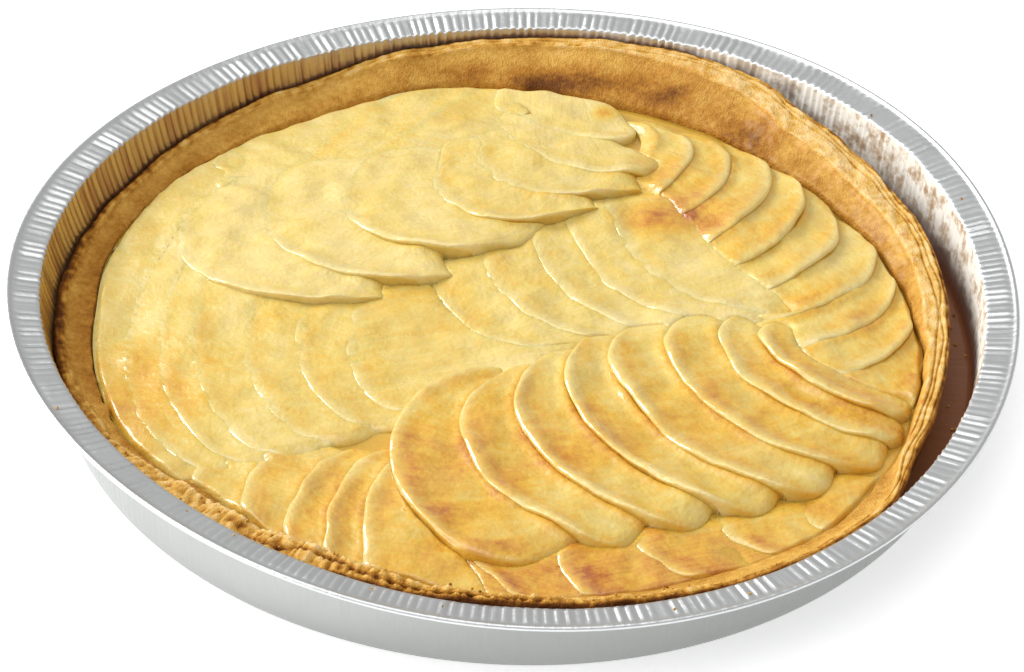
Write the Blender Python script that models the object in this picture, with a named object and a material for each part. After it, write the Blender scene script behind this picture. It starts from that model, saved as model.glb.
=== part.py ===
"""Apple tart baked in a round foil tin: tin, pastry crust, filling and fans of apple slices.

Lengths below are millimetres. The plan's x runs right and y away from the front of the tart,
measured from the centre of the tin's rim, and z is measured up from the underside of the tin.
"""
import math

import bmesh
import bpy
import numpy as np

MM = 0.001
SEGMENTS = 96          # round the tin, crust and filling
GAP = 0.3              # clear space left between touching pieces
CUT_GAP = 0.6           # left round a fan that lies over others

# Foil tin
RIM_RADIUS = 140.0
TIN_HEIGHT = 26.0
FLANGE_WIDTH = 9.3
FLANGE_DROP = 1.8      # the flange's inner edge below its outer edge
FOOT_RADIUS = 127.5
FOIL = 0.6
BEAD = 1.5             # width of the rolled outer edge
BEAD_STEP = 0.5        # its height over the flange beside it
BEAD_LAP = (0.4, 0.3)  # how far its underside hangs below its middle, at the flange and halfway
FOOT_FILLET = 1.6
# The rim is pressed out of round: shares of the radius, for two and three lobes
TWO_LOBES_SIN = -0.0167
THREE_LOBES_COS = -0.0164
THREE_LOBES_SIN = 0.0102
FOOT_SHARE = 0.3       # how much of that out-of-round the foot still has

# Pastry crust
CRUST_FLOOR = 3.4      # thickness under the filling
CRUST_TOP_ROUND = 1.2
CRUST_FOOT_BEVEL = 2.0  # width of the slope at its foot
LIP_SLOPE = 1.5        # plan width of the slope from its lip down to the apple
LIP_LEAST = 0.4        # least distance between the lip and the apple
LIP_SHOULDER = (1.0, 0.4)  # its rounded inner corner, across and down
LIP_FALL = 2.0         # height and greatest width of the step under that corner
CRUST_SHOWS = 3.0      # least depth of the crust's inside above the apple
# by angle in degrees, counted from +x towards +y
CRUST_TOP = {0: 18.0, 30: 19.2, 45: 20.5, 60: 22.2, 90: 22.4, 105: 20.5, 120: 17.0, 150: 14.0, 180: 13.6,
             205: 16.0, 225: 19.0, 240: 21.6, 255: 23.4, 270: 24.2, 285: 23.6, 300: 21.6, 330: 18.0}
WALL_GAP = {0: 8.0, 15: 7.6, 30: 8.0, 45: 6.8, 56: 1.4, 66: 0.5, 180: 0.5, 300: 0.5, 316: 1.2, 330: 7.0, 345: 8.2}
LIP_WIDTH = {0: 8.5, 15: 9.0, 30: 10.5, 45: 11.5, 60: 10.0, 75: 6.5, 90: 5.5, 150: 4.0, 180: 4.0, 205: 5.5,
             225: 9.5, 245: 9.0, 262: 5.5, 285: 4.5, 315: 4.0, 340: 6.5}
# Outer edge of the apple, where it meets the crust
APPLE_EDGE = {0: 109.5, 15: 107.0, 30: 104.5, 45: 103.0, 60: 106.0, 76: 107.0, 88: 110.0, 101: 115.0,
              122: 115.0, 135: 118.0, 150: 121.0, 165: 121.0, 180: 118.5, 207: 118.0, 216: 115.5, 224: 112.0,
              238: 113.5, 254: 115.0, 270: 118.5, 290: 119.5, 310: 121.5, 325: 118.5, 340: 114.5, 350: 112.5}
NOTCH_ANGLE = 236.0    # where the front of the crust is folded
NOTCH_DEPTH = 2.2
NOTCH_WIDTH = 3.0      # degrees
LUMP_HEIGHT = 0.55
LUMP_WAVES = ((11, 1.0, 0.0), (23, 0.7, 1.0), (37, 0.5, math.pi / 2))  # count, share and phase

# Filling and the level of the apple over it
FILLING_TOP = 10.5
SURFACE_LEVEL = 15.3
EDGE_DROP = {0: 2.0, 45: 2.0, 90: 1.2, 135: 2.2, 180: 3.2, 225: 1.2, 270: 0.6, 315: 0.8}
EDGE_DROP_START = 0.74  # share of the apple's radius where the surface begins to fall
CREST_ROUND = 0.7       # how far a slice's exposed edge is rounded down
CREST_SHARE = 0.15      # share of a slice's width that the rounding takes

# Fans of apple slices, lowest first. Each slice shows one curved edge, from a start through a
# middle to an end point in plan, and lies on the slice before it. Edges are given for a few
# slices of a fan, and those between are interpolated; the last one closes the fan. An edge is
# a half ellipse mixed with a parabola, and roundness is the ellipse's share. Lift is the fan's
# height over the level surface, step the drop at each edge, scallop the bulge of the slices' ends.
FANS = {
    "front_edge": {"roundness": 0.0, "lift": -0.9, "step": 1.5, "scallop": 1.0, "edges": {
        0: ((-34, -70), (-34, -100), (-5, -118)), 2: ((8, -90), (14, -112), (34, -118)),
        5: ((70, -78), (80, -90), (104, -80)), 6: ((92, -60), (102, -66), (117, -56))}},
    "front_left": {"roundness": 0.4, "lift": -0.2, "step": 2.3, "scallop": 1.2, "edges": {
        0: ((-88, -42), (-97, -62), (-84, -84)), 1: ((-72, -50), (-84, -66), (-76, -84)),
        3: ((-46, -60), (-57, -76), (-58, -95)), 5: ((-28, -62), (-40, -86), (-34, -114)),
        6: ((-14, -62), (-18, -88), (-4, -116))}},
    "right": {"roundness": 0.1, "lift": 0.2, "step": 2.8, "scallop": 1.3, "edges": {
        0: ((115, -7), (112, -26), (100, -42)), 3: ((101, 36), (98, 13), (77, -4)),
        6: ((68, 79), (73, 56), (54, 30)), 9: ((31, 95), (41, 84), (33, 66)),
        10: ((20, 99), (26, 84), (22, 64))}},
    "back_edge": {"roundness": 0.0, "lift": -0.6, "step": 1.2, "scallop": 1.0, "edges": {
        0: ((-66, 92), (-92, 80), (-112, 48)), 3: ((-6, 108), (-30, 92), (-62, 60)),
        4: ((18, 102), (-10, 84), (-44, 50))}},
    "left": {"roundness": 0.5, "lift": 0.0, "step": 1.0, "scallop": 1.0, "edges": {
        0: ((-76, 80), (-119, 5), (-93, -71)), 3: ((-80, 48), (-90, -18), (-63, -65)),
        6: ((-38, 8), (-46, -27), (-25, -48)), 7: ((-8, 14), (-10, -18), (-2, -34))}},
    "centre": {"roundness": 0.5, "lift": 0.3, "step": 1.4, "scallop": 1.0, "edges": {
        0: ((-18, 6), (-9, -14), (14, -16)), 2: ((11, 29), (14, 5), (42, -10)),
        4: ((34, 51), (36, 17), (74, -4)), 5: ((50, 44), (60, 25), (78, 0))}},
    "back_left": {"roundness": 0.5, "lift": 1.5, "step": 2.9, "scallop": 1.4, "edges": {
        0: ((-93, 55), (-88, 13), (-38, 4)), 1: ((-72, 68), (-65, 23), (-18, 13)),
        2: ((-47, 73), (-45, 35), (-3, 25)), 3: ((-24, 78), (-14, 41), (23, 48)),
        5: ((-4, 88), (15, 66), (46, 66)), 7: ((-6, 107), (12, 104), (31, 97))}},
    "front": {"roundness": 0.5, "lift": 1.3, "step": 2.5, "scallop": 1.8, "edges": {
        0: ((-6, -24), (-34, -62), (-8, -107)), 1: ((-4, -32), (-13, -66), (22, -100)),
        4: ((27, -11), (36, -54), (74, -80)), 6: ((56, -4), (67, -41), (104, -58)),
        8: ((77, -9), (85, -28), (110, -37))}},
}
EDGE_STEPS = 8                    # faces along a slice's edge
ACROSS = (0.0, 0.15, 0.55, 1.0)   # where a slice is split from its edge to its neighbour's
TANGENT_STEP = 0.02
SHORTEST_RUN = 1e-6               # keeps the length of a direction above zero
SLICE_CLEAR = 0.02                # added to the gap between two slices of a fan
WELD = 0.01                       # points of a slice closer than this are one
SCALLOP_LIMIT = 0.2               # largest bulge of a slice's end, as a share of its width there
NEAR_CRUST = 1.0                  # slices this close to the crust are cut to its inside
SHORTEST_EDGE = 0.06              # shorter edges left by a cut are merged away
SMALLEST_SLICE = 60.0             # mm2 of top that a slice must show to be kept
FACING_UP = 0.3                   # least z of a top face's normal
BORDER_STEP = 0.4                 # points of a fan's outline closer than this are one
CUT_BELOW = 2.0                   # how far a cutting prism reaches below the slices
CUT_ABOVE = 10.0                  # and above the tin

COLOURS = {
    "foil": ((0.72, 0.72, 0.73), 0.32, 1.0),
    "pastry": ((0.50, 0.27, 0.10), 0.65, 0.0),
    "filling": ((0.62, 0.46, 0.10), 0.25, 0.0),
    "apple": ((0.78, 0.58, 0.20), 0.30, 0.0),
}


def clear_scene():
    for item in list(bpy.data.objects):
        bpy.data.objects.remove(item, do_unlink=True)


def material(name):
    """Return the named material, made once."""
    found = bpy.data.materials.get(name)
    if found:
        return found
    colour, roughness, metallic = COLOURS[name]
    made = bpy.data.materials.new(name)
    made.use_nodes = True
    shader = made.node_tree.nodes["Principled BSDF"]
    shader.inputs["Base Color"].default_value = (*colour, 1.0)
    shader.inputs["Roughness"].default_value = roughness
    shader.inputs["Metallic"].default_value = metallic
    return made


def smooth(value):
    value = min(max(value, 0.0), 1.0)
    return value * value * (3.0 - 2.0 * value)


def around(table, angle):
    """Read a table of values by degrees at an angle in radians, eased from key to key."""
    degrees = math.degrees(angle) % 360.0
    keys = sorted(table)
    for low, high in zip(keys, keys[1:] + [keys[0] + 360]):
        start = degrees if degrees >= keys[0] else degrees + 360.0
        if low <= start <= high:
            share = smooth((start - low) / (high - low))
            return table[low] + (table[high % 360] - table[low]) * share
    return table[keys[0]]


def out_of_round(angle):
    return (TWO_LOBES_SIN * math.sin(2 * angle) + THREE_LOBES_COS * math.cos(3 * angle)
            + THREE_LOBES_SIN * math.sin(3 * angle))


def pressed(radius, z, angle):
    """Radius of a point of the tin once it is pressed out of round."""
    share = FOOT_SHARE + (1.0 - FOOT_SHARE) * smooth(z / TIN_HEIGHT)
    return radius * (1.0 + share * out_of_round(angle))


def wall_radius(z, angle):
    """Inner radius of the tin's wall."""
    top = RIM_RADIUS - FLANGE_WIDTH
    share = min(max(z / (TIN_HEIGHT - FLANGE_DROP), 0.0), 1.0)
    return pressed(FOOT_RADIUS + (top - FOOT_RADIUS) * share, z, angle)


def polar(radius, angle, z):
    return (radius * math.cos(angle), radius * math.sin(angle), z)


def angles():
    return [2 * math.pi * k / SEGMENTS for k in range(SEGMENTS)]


def ring_solid(name, rings, slot, parent):
    """Close a stack of rings into one solid: the first and last rings are filled flat."""
    work = bmesh.new()
    loops = [[work.verts.new(point) for point in ring] for ring in rings]
    for lower, upper in zip(loops, loops[1:]):
        for k in range(SEGMENTS):
            nxt = (k + 1) % SEGMENTS
            work.faces.new((lower[k], lower[nxt], upper[nxt], upper[k]))
    work.faces.new(reversed(loops[0]))
    work.faces.new(loops[-1])
    return finished(work, name, slot, parent)


def finished(work, name, slot, parent):
    """Turn a bmesh in millimetres into a named object with its faces pointing out."""
    bmesh.ops.scale(work, vec=(MM, MM, MM), verts=work.verts)
    bmesh.ops.recalc_face_normals(work, faces=work.faces)
    mesh = bpy.data.meshes.new(name)
    work.to_mesh(mesh)
    work.free()
    mesh.materials.append(material(slot))
    made = bpy.data.objects.new(name, mesh)
    bpy.context.collection.objects.link(made)
    made.parent = parent
    return made


def tin_profile():
    """Outer side from the base up over the rolled edge, then the inner side back down."""
    wall_top = RIM_RADIUS - FLANGE_WIDTH
    flange = TIN_HEIGHT - FLANGE_DROP
    edge = RIM_RADIUS
    return [
        (FOOT_RADIUS + FOIL - FOOT_FILLET, 0.0),
        (FOOT_RADIUS + FOIL, FOOT_FILLET),
        (wall_top + FOIL, flange - 2 * FOIL),
        (wall_top + 2 * FOIL, flange - FOIL),
        (edge - BEAD, TIN_HEIGHT - BEAD - BEAD_LAP[0]),
        (edge - BEAD / 2, TIN_HEIGHT - BEAD - BEAD_LAP[1]),
        (edge, TIN_HEIGHT - BEAD),
        (edge, TIN_HEIGHT - BEAD / 2),
        (edge - BEAD / 2, TIN_HEIGHT),
        (edge - BEAD, TIN_HEIGHT - BEAD_STEP),
        (wall_top + FOIL, flange),
        (wall_top, flange - FOIL),
        (FOOT_RADIUS, FOOT_FILLET + FOIL),
        (FOOT_RADIUS - FOOT_FILLET, FOIL),
    ]


def make_tin(parent):
    rings = [[polar(pressed(radius, z, angle), angle, z) for angle in angles()] for radius, z in tin_profile()]
    return ring_solid("foil_tin", rings, "foil", parent)


def crust_top(angle):
    """Height of the crust's edge, with its lumps and the fold at the front left."""
    off = (math.degrees(angle) - NOTCH_ANGLE) / NOTCH_WIDTH
    lumps = sum(share * math.sin(count * angle + phase) for count, share, phase in LUMP_WAVES)
    return around(CRUST_TOP, angle) + LUMP_HEIGHT * lumps / 2 - NOTCH_DEPTH * math.exp(-off * off)


def crust_rings():
    """Rings of the crust: under the floor, up the outside, over the edge and down to the floor."""
    inner_foot = CRUST_FLOOR + FOIL + GAP
    rows = []
    for angle in angles():
        top = crust_top(angle)
        gap = around(WALL_GAP, angle)
        lip = around(LIP_WIDTH, angle)
        outside = wall_radius(top, angle) - gap
        foot = wall_radius(FOOT_FILLET, angle) - gap - FOOT_FILLET
        apple = around(APPLE_EDGE, angle) + GAP
        middle = max(apple, outside - lip - LIP_SLOPE)
        inside = max(apple + LIP_LEAST, outside - lip)
        rows.append([
            polar(foot - CRUST_FOOT_BEVEL, angle, FOIL + GAP),
            polar(foot, angle, FOIL + GAP + FOOT_FILLET),
            polar(outside, angle, top - CRUST_TOP_ROUND),
            polar(outside - CRUST_TOP_ROUND, angle, top),
            polar(inside + LIP_SHOULDER[0], angle, top - LIP_SHOULDER[1]),
            polar(min(inside, middle + LIP_FALL), angle, top - LIP_FALL),
            polar(apple, angle, min(top - CRUST_SHOWS, SURFACE_LEVEL - around(EDGE_DROP, angle))),
            polar(apple, angle, inner_foot),
        ])
    return [list(ring) for ring in zip(*rows)]


def make_crust(parent):
    return ring_solid("pastry_crust", crust_rings(), "pastry", parent)


def make_filling(parent):
    low = CRUST_FLOOR + FOIL + 2 * GAP
    rings = [[polar(around(APPLE_EDGE, angle), angle, z) for angle in angles()] for z in (low, FILLING_TOP)]
    return ring_solid("apple_filling", rings, "filling", parent)


def edge_keys(fan, number):
    """Start, middle and end of a fan's edge, at any number between its first and last."""
    edges = fan["edges"]
    keys = sorted(edges)
    return [np.array([np.interp(number, keys, [edges[k][which][axis] for k in keys]) for axis in (0, 1)])
            for which in range(3)]


def edge_point(fan, number, along):
    """A point of a fan's edge: along runs from 0 at the start to 1 at the end."""
    start, middle, end = edge_keys(fan, number)
    centre = (start + end) / 2
    half = centre + math.cos(math.pi * along) * (start - end) / 2 + math.sin(math.pi * along) * (middle - centre)
    curve = (start * (1 - along) * (1 - 2 * along) + 4 * along * (1 - along) * middle
             + end * along * (2 * along - 1))
    return fan["roundness"] * half + (1 - fan["roundness"]) * curve


def inward(fan, number, across, along):
    """Unit vector square to a slice's long side, into the slice."""
    before = edge_point(fan, number + across, max(along - TANGENT_STEP, 0.0))
    after = edge_point(fan, number + across, min(along + TANGENT_STEP, 1.0))
    run = (after - before) / np.linalg.norm(after - before)
    middle = edge_point(fan, number + across, 0.5)
    ahead = edge_point(fan, number + across, 0.5 + TANGENT_STEP) - middle
    into = edge_point(fan, number + 1 - across, 0.5) - middle
    side = 1.0 if ahead[0] * into[1] - ahead[1] * into[0] > 0 else -1.0
    return side * np.array([-run[1], run[0]])


def slice_point(fan, number, across, along, inset):
    """Plan point of a slice, with round ends and set back from its neighbours by inset."""
    here = edge_point(fan, number + across, along)
    if along in (0, 1):
        ends = [edge_point(fan, number + side, along) for side in (0, 1)]
        run = ends[1] - ends[0]
        out = np.array([run[1], -run[0]]) / max(np.linalg.norm(run), SHORTEST_RUN)
        if np.dot(out, edge_point(fan, number + 0.5, 0.5) - ends[0]) > 0:
            out = -out
        bulge = min(fan["scallop"], SCALLOP_LIMIT * np.linalg.norm(run))
        here = here + out * bulge * 4 * across * (1 - across)
    if across in (0.0, 1.0):
        here = here + inward(fan, number, across, along) * inset
    return here


def surface_level(point):
    """Height of the apple before each slice's own rise."""
    angle = math.atan2(point[1], point[0])
    share = math.hypot(point[0], point[1]) / around(APPLE_EDGE, angle)
    fall = smooth((share - EDGE_DROP_START) / (1 - EDGE_DROP_START))
    return SURFACE_LEVEL - around(EDGE_DROP, angle) * fall


def slice_height(fan, across, point):
    rounded = CREST_ROUND * (1 - smooth(across / CREST_SHARE))
    return surface_level(point) + fan["lift"] + fan["step"] * (1 - across) - rounded


def slice_solid(name, fan, number, parent):
    """One slice: the part of it that shows, from its curved edge to the next slice's."""
    work = bmesh.new()
    under = FILLING_TOP + GAP
    alongs = [k / EDGE_STEPS for k in range(EDGE_STEPS + 1)]
    top = []
    for across in ACROSS:
        points = [slice_point(fan, number, across, along, GAP / 2 + SLICE_CLEAR) for along in alongs]
        top.append([work.verts.new((*point, slice_height(fan, across, point))) for point in points])
    for front, back in zip(top, top[1:]):
        for k in range(EDGE_STEPS):
            work.faces.new((front[k], front[k + 1], back[k + 1], back[k]))
    border = (top[0] + [row[-1] for row in top[1:-1]] + top[-1][::-1] + [row[0] for row in top[-2:0:-1]])
    foot = [work.verts.new((vert.co.x, vert.co.y, under)) for vert in border]
    for k, vert in enumerate(border):
        nxt = (k + 1) % len(border)
        work.faces.new((border[nxt], vert, foot[k], foot[nxt]))
    work.faces.new(foot)
    bmesh.ops.remove_doubles(work, verts=work.verts, dist=WELD)
    bmesh.ops.triangulate(work, faces=work.faces, ngon_method="EAR_CLIP")
    return finished(work, name, "apple", parent)


def fan_border(fan):
    """Outline of a whole fan in plan, grown by the gap so that lower slices stay clear of it."""
    last = max(fan["edges"])
    steps = [k / EDGE_STEPS for k in range(EDGE_STEPS + 1)]
    ends = [(number, across) for number in range(last) for across in ACROSS]
    border = [slice_point(fan, 0, 0.0, along, 0.0) for along in steps]
    border += [slice_point(fan, number, across, 1, 0.0) for number, across in ends]
    border += [slice_point(fan, last - 1, 1.0, along, 0.0) for along in reversed(steps)]
    border += [slice_point(fan, number, across, 0, 0.0) for number, across in reversed(ends)]
    return grown(border, CUT_GAP)


def grown(border, amount):
    """Move an outline's points outward."""
    clean = [border[0]]
    for point in border[1:]:
        if np.linalg.norm(point - clean[-1]) > BORDER_STEP:
            clean.append(point)
    if np.linalg.norm(clean[0] - clean[-1]) <= BORDER_STEP:
        clean.pop()
    area = sum(a[0] * b[1] - b[0] * a[1] for a, b in zip(clean, clean[1:] + clean[:1]))
    turn = 1.0 if area > 0 else -1.0
    moved = []
    for k, point in enumerate(clean):
        run = clean[(k + 1) % len(clean)] - clean[k - 1]
        normal = np.array([run[1], -run[0]]) * turn / max(np.linalg.norm(run), SHORTEST_RUN)
        moved.append(point + normal * amount)
    return moved


def cutting_prism(name, border, parent):
    """A tall prism over an outline, which cuts the slices."""
    work = bmesh.new()
    low, high = FILLING_TOP - CUT_BELOW, TIN_HEIGHT + CUT_ABOVE
    feet = [work.verts.new((*point, low)) for point in border]
    tops = [work.verts.new((*point, high)) for point in border]
    for k in range(len(border)):
        nxt = (k + 1) % len(border)
        work.faces.new((feet[k], feet[nxt], tops[nxt], tops[k]))
    work.faces.new(feet)
    work.faces.new(tops)
    bmesh.ops.triangulate(work, faces=work.faces, ngon_method="EAR_CLIP")
    cutter = finished(work, name, "apple", parent)
    cutter.hide_render = True
    cutter.display_type = "WIRE"
    return cutter


def cut_slice(item, cutter, operation):
    """Apply a Boolean and keep its result as the item's mesh."""
    change = item.modifiers.new("cut", "BOOLEAN")
    change.operation = operation
    change.object = cutter
    result = None
    for solver in ("EXACT", "MANIFOLD"):
        change.solver = solver
        bpy.context.view_layer.update()
        seen = item.evaluated_get(bpy.context.evaluated_depsgraph_get())
        result = bpy.data.meshes.new_from_object(seen)
        if result.polygons:
            break
    item.modifiers.remove(change)
    old = item.data
    item.data = result
    bpy.data.meshes.remove(old)


def top_area(faces):
    return sum(face.calc_area() for face in faces if face.normal.z > FACING_UP) / MM ** 2


def keep_largest(item):
    """Keep the largest closed body of a cut slice, and say whether enough of it is left."""
    work = bmesh.new()
    work.from_mesh(item.data)
    bmesh.ops.remove_doubles(work, verts=work.verts, dist=SHORTEST_EDGE * MM)
    bmesh.ops.dissolve_degenerate(work, dist=SHORTEST_EDGE / 2 * MM, edges=work.edges)
    bodies = []
    left = set(work.faces)
    while left:
        body, edge = set(), [left.pop()]
        while edge:
            face = edge.pop()
            body.add(face)
            near = {other for side in face.edges for other in side.link_faces} & left
            left -= near
            edge.extend(near)
        bodies.append(body)
    bodies.sort(key=top_area)
    for body in bodies[:-1]:
        bmesh.ops.delete(work, geom=list(body), context="FACES")
    loose = [vert for vert in work.verts if not vert.link_faces]
    bmesh.ops.delete(work, geom=loose, context="VERTS")
    area = top_area(work.faces)
    work.to_mesh(item.data)
    work.free()
    return area >= SMALLEST_SLICE


def near_crust(item):
    for vert in item.data.vertices:
        x, y = vert.co.x / MM, vert.co.y / MM
        if math.hypot(x, y) > around(APPLE_EDGE, math.atan2(y, x)) - NEAR_CRUST:
            return True
    return False


def make_slices(parent):
    """Lay every fan inside the crust and cut each one clear of the fans that lie over it."""
    names = list(FANS)
    fans = {name: [slice_solid(f"slice_{name}_{k + 1}", FANS[name], k, parent)
                   for k in range(max(FANS[name]["edges"]))] for name in names}
    for level, over in enumerate(names[1:], 1):
        cutter = cutting_prism(f"cutter_{over}", fan_border(FANS[over]), parent)
        for under in names[:level]:
            for item in fans[under]:
                cut_slice(item, cutter, "DIFFERENCE")
        bpy.data.objects.remove(cutter, do_unlink=True)
    inside = [polar(around(APPLE_EDGE, angle) - GAP, angle, 0.0)[:2] for angle in angles()]
    keeper = cutting_prism("cutter_crust", inside, parent)
    for item in (one for name in names for one in fans[name]):
        if near_crust(item):
            cut_slice(item, keeper, "INTERSECT")
    bpy.data.objects.remove(keeper, do_unlink=True)
    for name in names:
        for item in fans[name]:
            if not keep_largest(item):
                bpy.data.objects.remove(item, do_unlink=True)


def rim_middle():
    """Middle of the rim's bounding box, which becomes the part's origin."""
    points = [polar(pressed(RIM_RADIUS, TIN_HEIGHT - BEAD, angle), angle, 0.0) for angle in angles()]
    xs = [point[0] for point in points]
    ys = [point[1] for point in points]
    return (max(xs) + min(xs)) / 2, (max(ys) + min(ys)) / 2


def main():
    clear_scene()
    tart = bpy.data.objects.new("tart", None)
    bpy.context.collection.objects.link(tart)
    middle_x, middle_y = rim_middle()
    tart.location = (-middle_x * MM, -middle_y * MM, 0.0)
    for item in (make_tin(tart), make_crust(tart)):
        item.data.shade_smooth()
    make_filling(tart)
    make_slices(tart)


main()
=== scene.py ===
"""Apple tart in a foil tin: the tin, crust, fans of glazed apple slices, crumbs and a photo stage.

Sizes are millimetres in plan from the middle of the tin's rim, x to the right and y away from the
front, and z up from the tin's underside, until a piece is placed in metres in the model's frame.
"""
import math

import bmesh
import bpy
import numpy as np
from mathutils import Matrix, Vector, noise


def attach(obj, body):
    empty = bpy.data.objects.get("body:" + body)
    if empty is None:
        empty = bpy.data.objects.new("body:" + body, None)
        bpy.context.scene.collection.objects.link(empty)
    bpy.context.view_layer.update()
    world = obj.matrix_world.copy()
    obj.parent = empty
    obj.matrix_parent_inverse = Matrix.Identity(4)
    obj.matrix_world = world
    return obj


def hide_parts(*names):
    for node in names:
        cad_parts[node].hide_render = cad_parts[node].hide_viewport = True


bl_info = {
    "name": "Apple tart in a foil tin",
    "version": (1, 0, 0),
    "blender": (4, 5, 0),
    "location": "3D View > Sidebar > Tart",
    "description": "Foil tin, pastry crust and fans of glazed apple slices over the tart's solid model",
    "category": "Add Mesh",
}

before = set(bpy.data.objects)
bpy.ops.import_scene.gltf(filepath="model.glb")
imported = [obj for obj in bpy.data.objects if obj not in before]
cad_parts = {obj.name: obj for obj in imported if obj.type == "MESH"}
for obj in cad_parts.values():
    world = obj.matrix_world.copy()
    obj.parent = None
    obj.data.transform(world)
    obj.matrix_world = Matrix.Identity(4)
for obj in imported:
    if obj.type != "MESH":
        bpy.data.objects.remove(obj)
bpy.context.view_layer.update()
MM = 0.001
GAP = 0.3                 # clear space between the solids' pieces
WELD = 0.00001            # metres: a grid's points closer than this are one

# Foil tin
RIM_RADIUS = 140.0
TIN_HEIGHT = 26.0
FLANGE_WIDTH = 9.3
FLANGE_DROP = 1.8
FOOT_RADIUS = 127.5
FOIL = 0.6
BEAD = 1.5
FOOT_FILLET = 1.6
TWO_LOBES_SIN = -0.0167
THREE_LOBES_COS = -0.0164
THREE_LOBES_SIN = 0.0102
FOOT_SHARE = 0.3
COLUMNS_PER_FLUTE = 5
OUTSIDE_ROWS = (3, 13)    # rows of the section between which it is the outer wall
INSIDE_ROWS = 17          # its last rows, down the inner wall and over the floor
STREAK_CIRCLE = 0.13      # metres: radius at which the foil's streaks are sized
# By degrees from +x towards +y
# Gold tint on the inner wall by angle, strongest at the left: baked-on butter, and partly a painted reflection of the
# crust
STAIN_AND_REFLECTION = {0: 0.15, 40: 0.1, 70: 0.25, 100: 0.5, 130: 0.85, 150: 0.9, 200: 1.0, 225: 0.9, 250: 0.6, 300: 0.5, 330: 0.3}
# How high dark brown reaches up the inner wall by angle: scorched juice, and partly painted shade low in the narrow
# gap beside the crust
BURNT_AND_SHADE_HEIGHT = {0: 9.0, 90: 7.0, 150: 9.0, 180: 15.0, 210: 20.0, 235: 15.0, 300: 9.0}
RESIDUE = {0: 1.0, 38: 0.95, 52: 0.55, 70: 0.15, 85: 0.0, 300: 0.0, 335: 0.35, 348: 0.8}

# Pastry crust, by degrees
CRUST_FLOOR = 3.4
CRUST_TOP_ROUND = 1.2
CRUST_LIMIT = 25.7        # lumps stay under this height
CRUST_COLUMNS = 900
CRUST_ROWS = (1, 2, 10, 4, 26, 6, 18, 3, 1)  # rows that follow each corner of the section
SOFTENED = 4              # times that the section's corners are eased
GROOVES_AT = (1.0, 2.3, 3.9)  # layers of pastry in its edge, in from the outside
GROOVE_WIDTH = 0.28
GLAZED = {0: 1.0, 55: 1.0, 80: 0.35, 110: 0.2, 150: 0.2, 190: 0.1, 210: 0.0, 300: 0.0, 325: 0.8}
CRUST_TOP = {0: 18.0, 30: 19.2, 45: 20.5, 60: 22.2, 90: 22.4, 105: 20.5, 120: 17.0, 150: 14.0, 180: 13.6,
             205: 16.0, 225: 19.0, 240: 21.6, 255: 23.4, 270: 24.2, 285: 23.6, 300: 21.6, 330: 18.0}
WALL_GAP = {0: 8.0, 15: 7.6, 30: 8.0, 45: 6.8, 56: 1.4, 66: 0.5, 180: 0.5, 300: 0.5, 316: 1.2, 330: 7.0, 345: 8.2}
LIP_WIDTH = {0: 8.5, 15: 9.0, 30: 10.5, 45: 11.5, 60: 10.0, 75: 6.5, 90: 5.5, 150: 4.0, 180: 4.0, 205: 5.5,
             225: 9.5, 245: 9.0, 262: 5.5, 285: 4.5, 315: 4.0, 340: 6.5}
APPLE_EDGE = {0: 109.5, 15: 107.0, 30: 104.5, 45: 103.0, 60: 106.0, 76: 107.0, 88: 110.0, 101: 115.0,
              122: 115.0, 135: 118.0, 150: 121.0, 165: 121.0, 180: 118.5, 207: 118.0, 216: 115.5, 224: 112.0,
              238: 113.5, 254: 115.0, 270: 118.5, 290: 119.5, 310: 121.5, 325: 118.5, 340: 114.5, 350: 112.5}
NOTCH_ANGLE = 236.0
NOTCH_DEPTH = 2.2
NOTCH_WIDTH = 3.0
LUMP_HEIGHT = 0.55
CRUST_LUMPS = {0: 0.55, 50: 0.6, 75: 0.3, 120: 0.3, 180: 0.35, 205: 0.8, 250: 0.95, 290: 0.5, 330: 0.35}
FORK_MARKS = {0: 0.0, 195: 0.0, 212: 0.7, 240: 1.0, 285: 1.0, 305: 0.3, 325: 0.0}
LAYERS = {0: 1.0, 60: 1.0, 80: 0.4, 120: 0.3, 160: 0.2, 200: 0.2, 215: 0.0, 290: 0.0, 315: 0.8}
FOLD_LINE = {0: 0.0, 231: 0.0, 238: 1.0, 262: 0.8, 280: 0.0}
BAKE_LIP = {0: 0.32, 30: 0.30, 45: 0.32, 75: 0.30, 90: 0.34, 120: 0.36, 150: 0.46, 180: 0.60, 205: 0.46,
            225: 0.34, 245: 0.42, 258: 0.50, 275: 0.54, 300: 0.48, 330: 0.36}
BAKE_INSIDE = {0: 0.40, 30: 0.40, 60: 0.46, 90: 0.40, 120: 0.38, 150: 0.42, 180: 0.53, 205: 0.50, 240: 0.44, 300: 0.36,
               330: 0.42}
# Width of the dark line along the crust's outer top edge by degrees: scorched pastry, and partly painted shadow where
# the crust meets the tin
EDGE_SCORCH_AND_SHADE = {0: 0.8, 120: 0.9, 150: 1.3, 180: 2.0, 210: 1.8, 235: 1.0}
# Painted shade at the foot of its inner face, over the apple: x, y, half widths, how much
FOOT_SHADE_SPOTS = ((8.0, 112.0, 12.0, 4.0, 0.34), (46.0, 104.0, 7.0, 3.0, 0.30), (28.0, 110.0, 12.0, 3.0, 0.16),
           (-20.0, 117.0, 14.0, 2.5, 0.14), (72.0, 84.0, 10.0, 8.0, 0.12))

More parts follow.
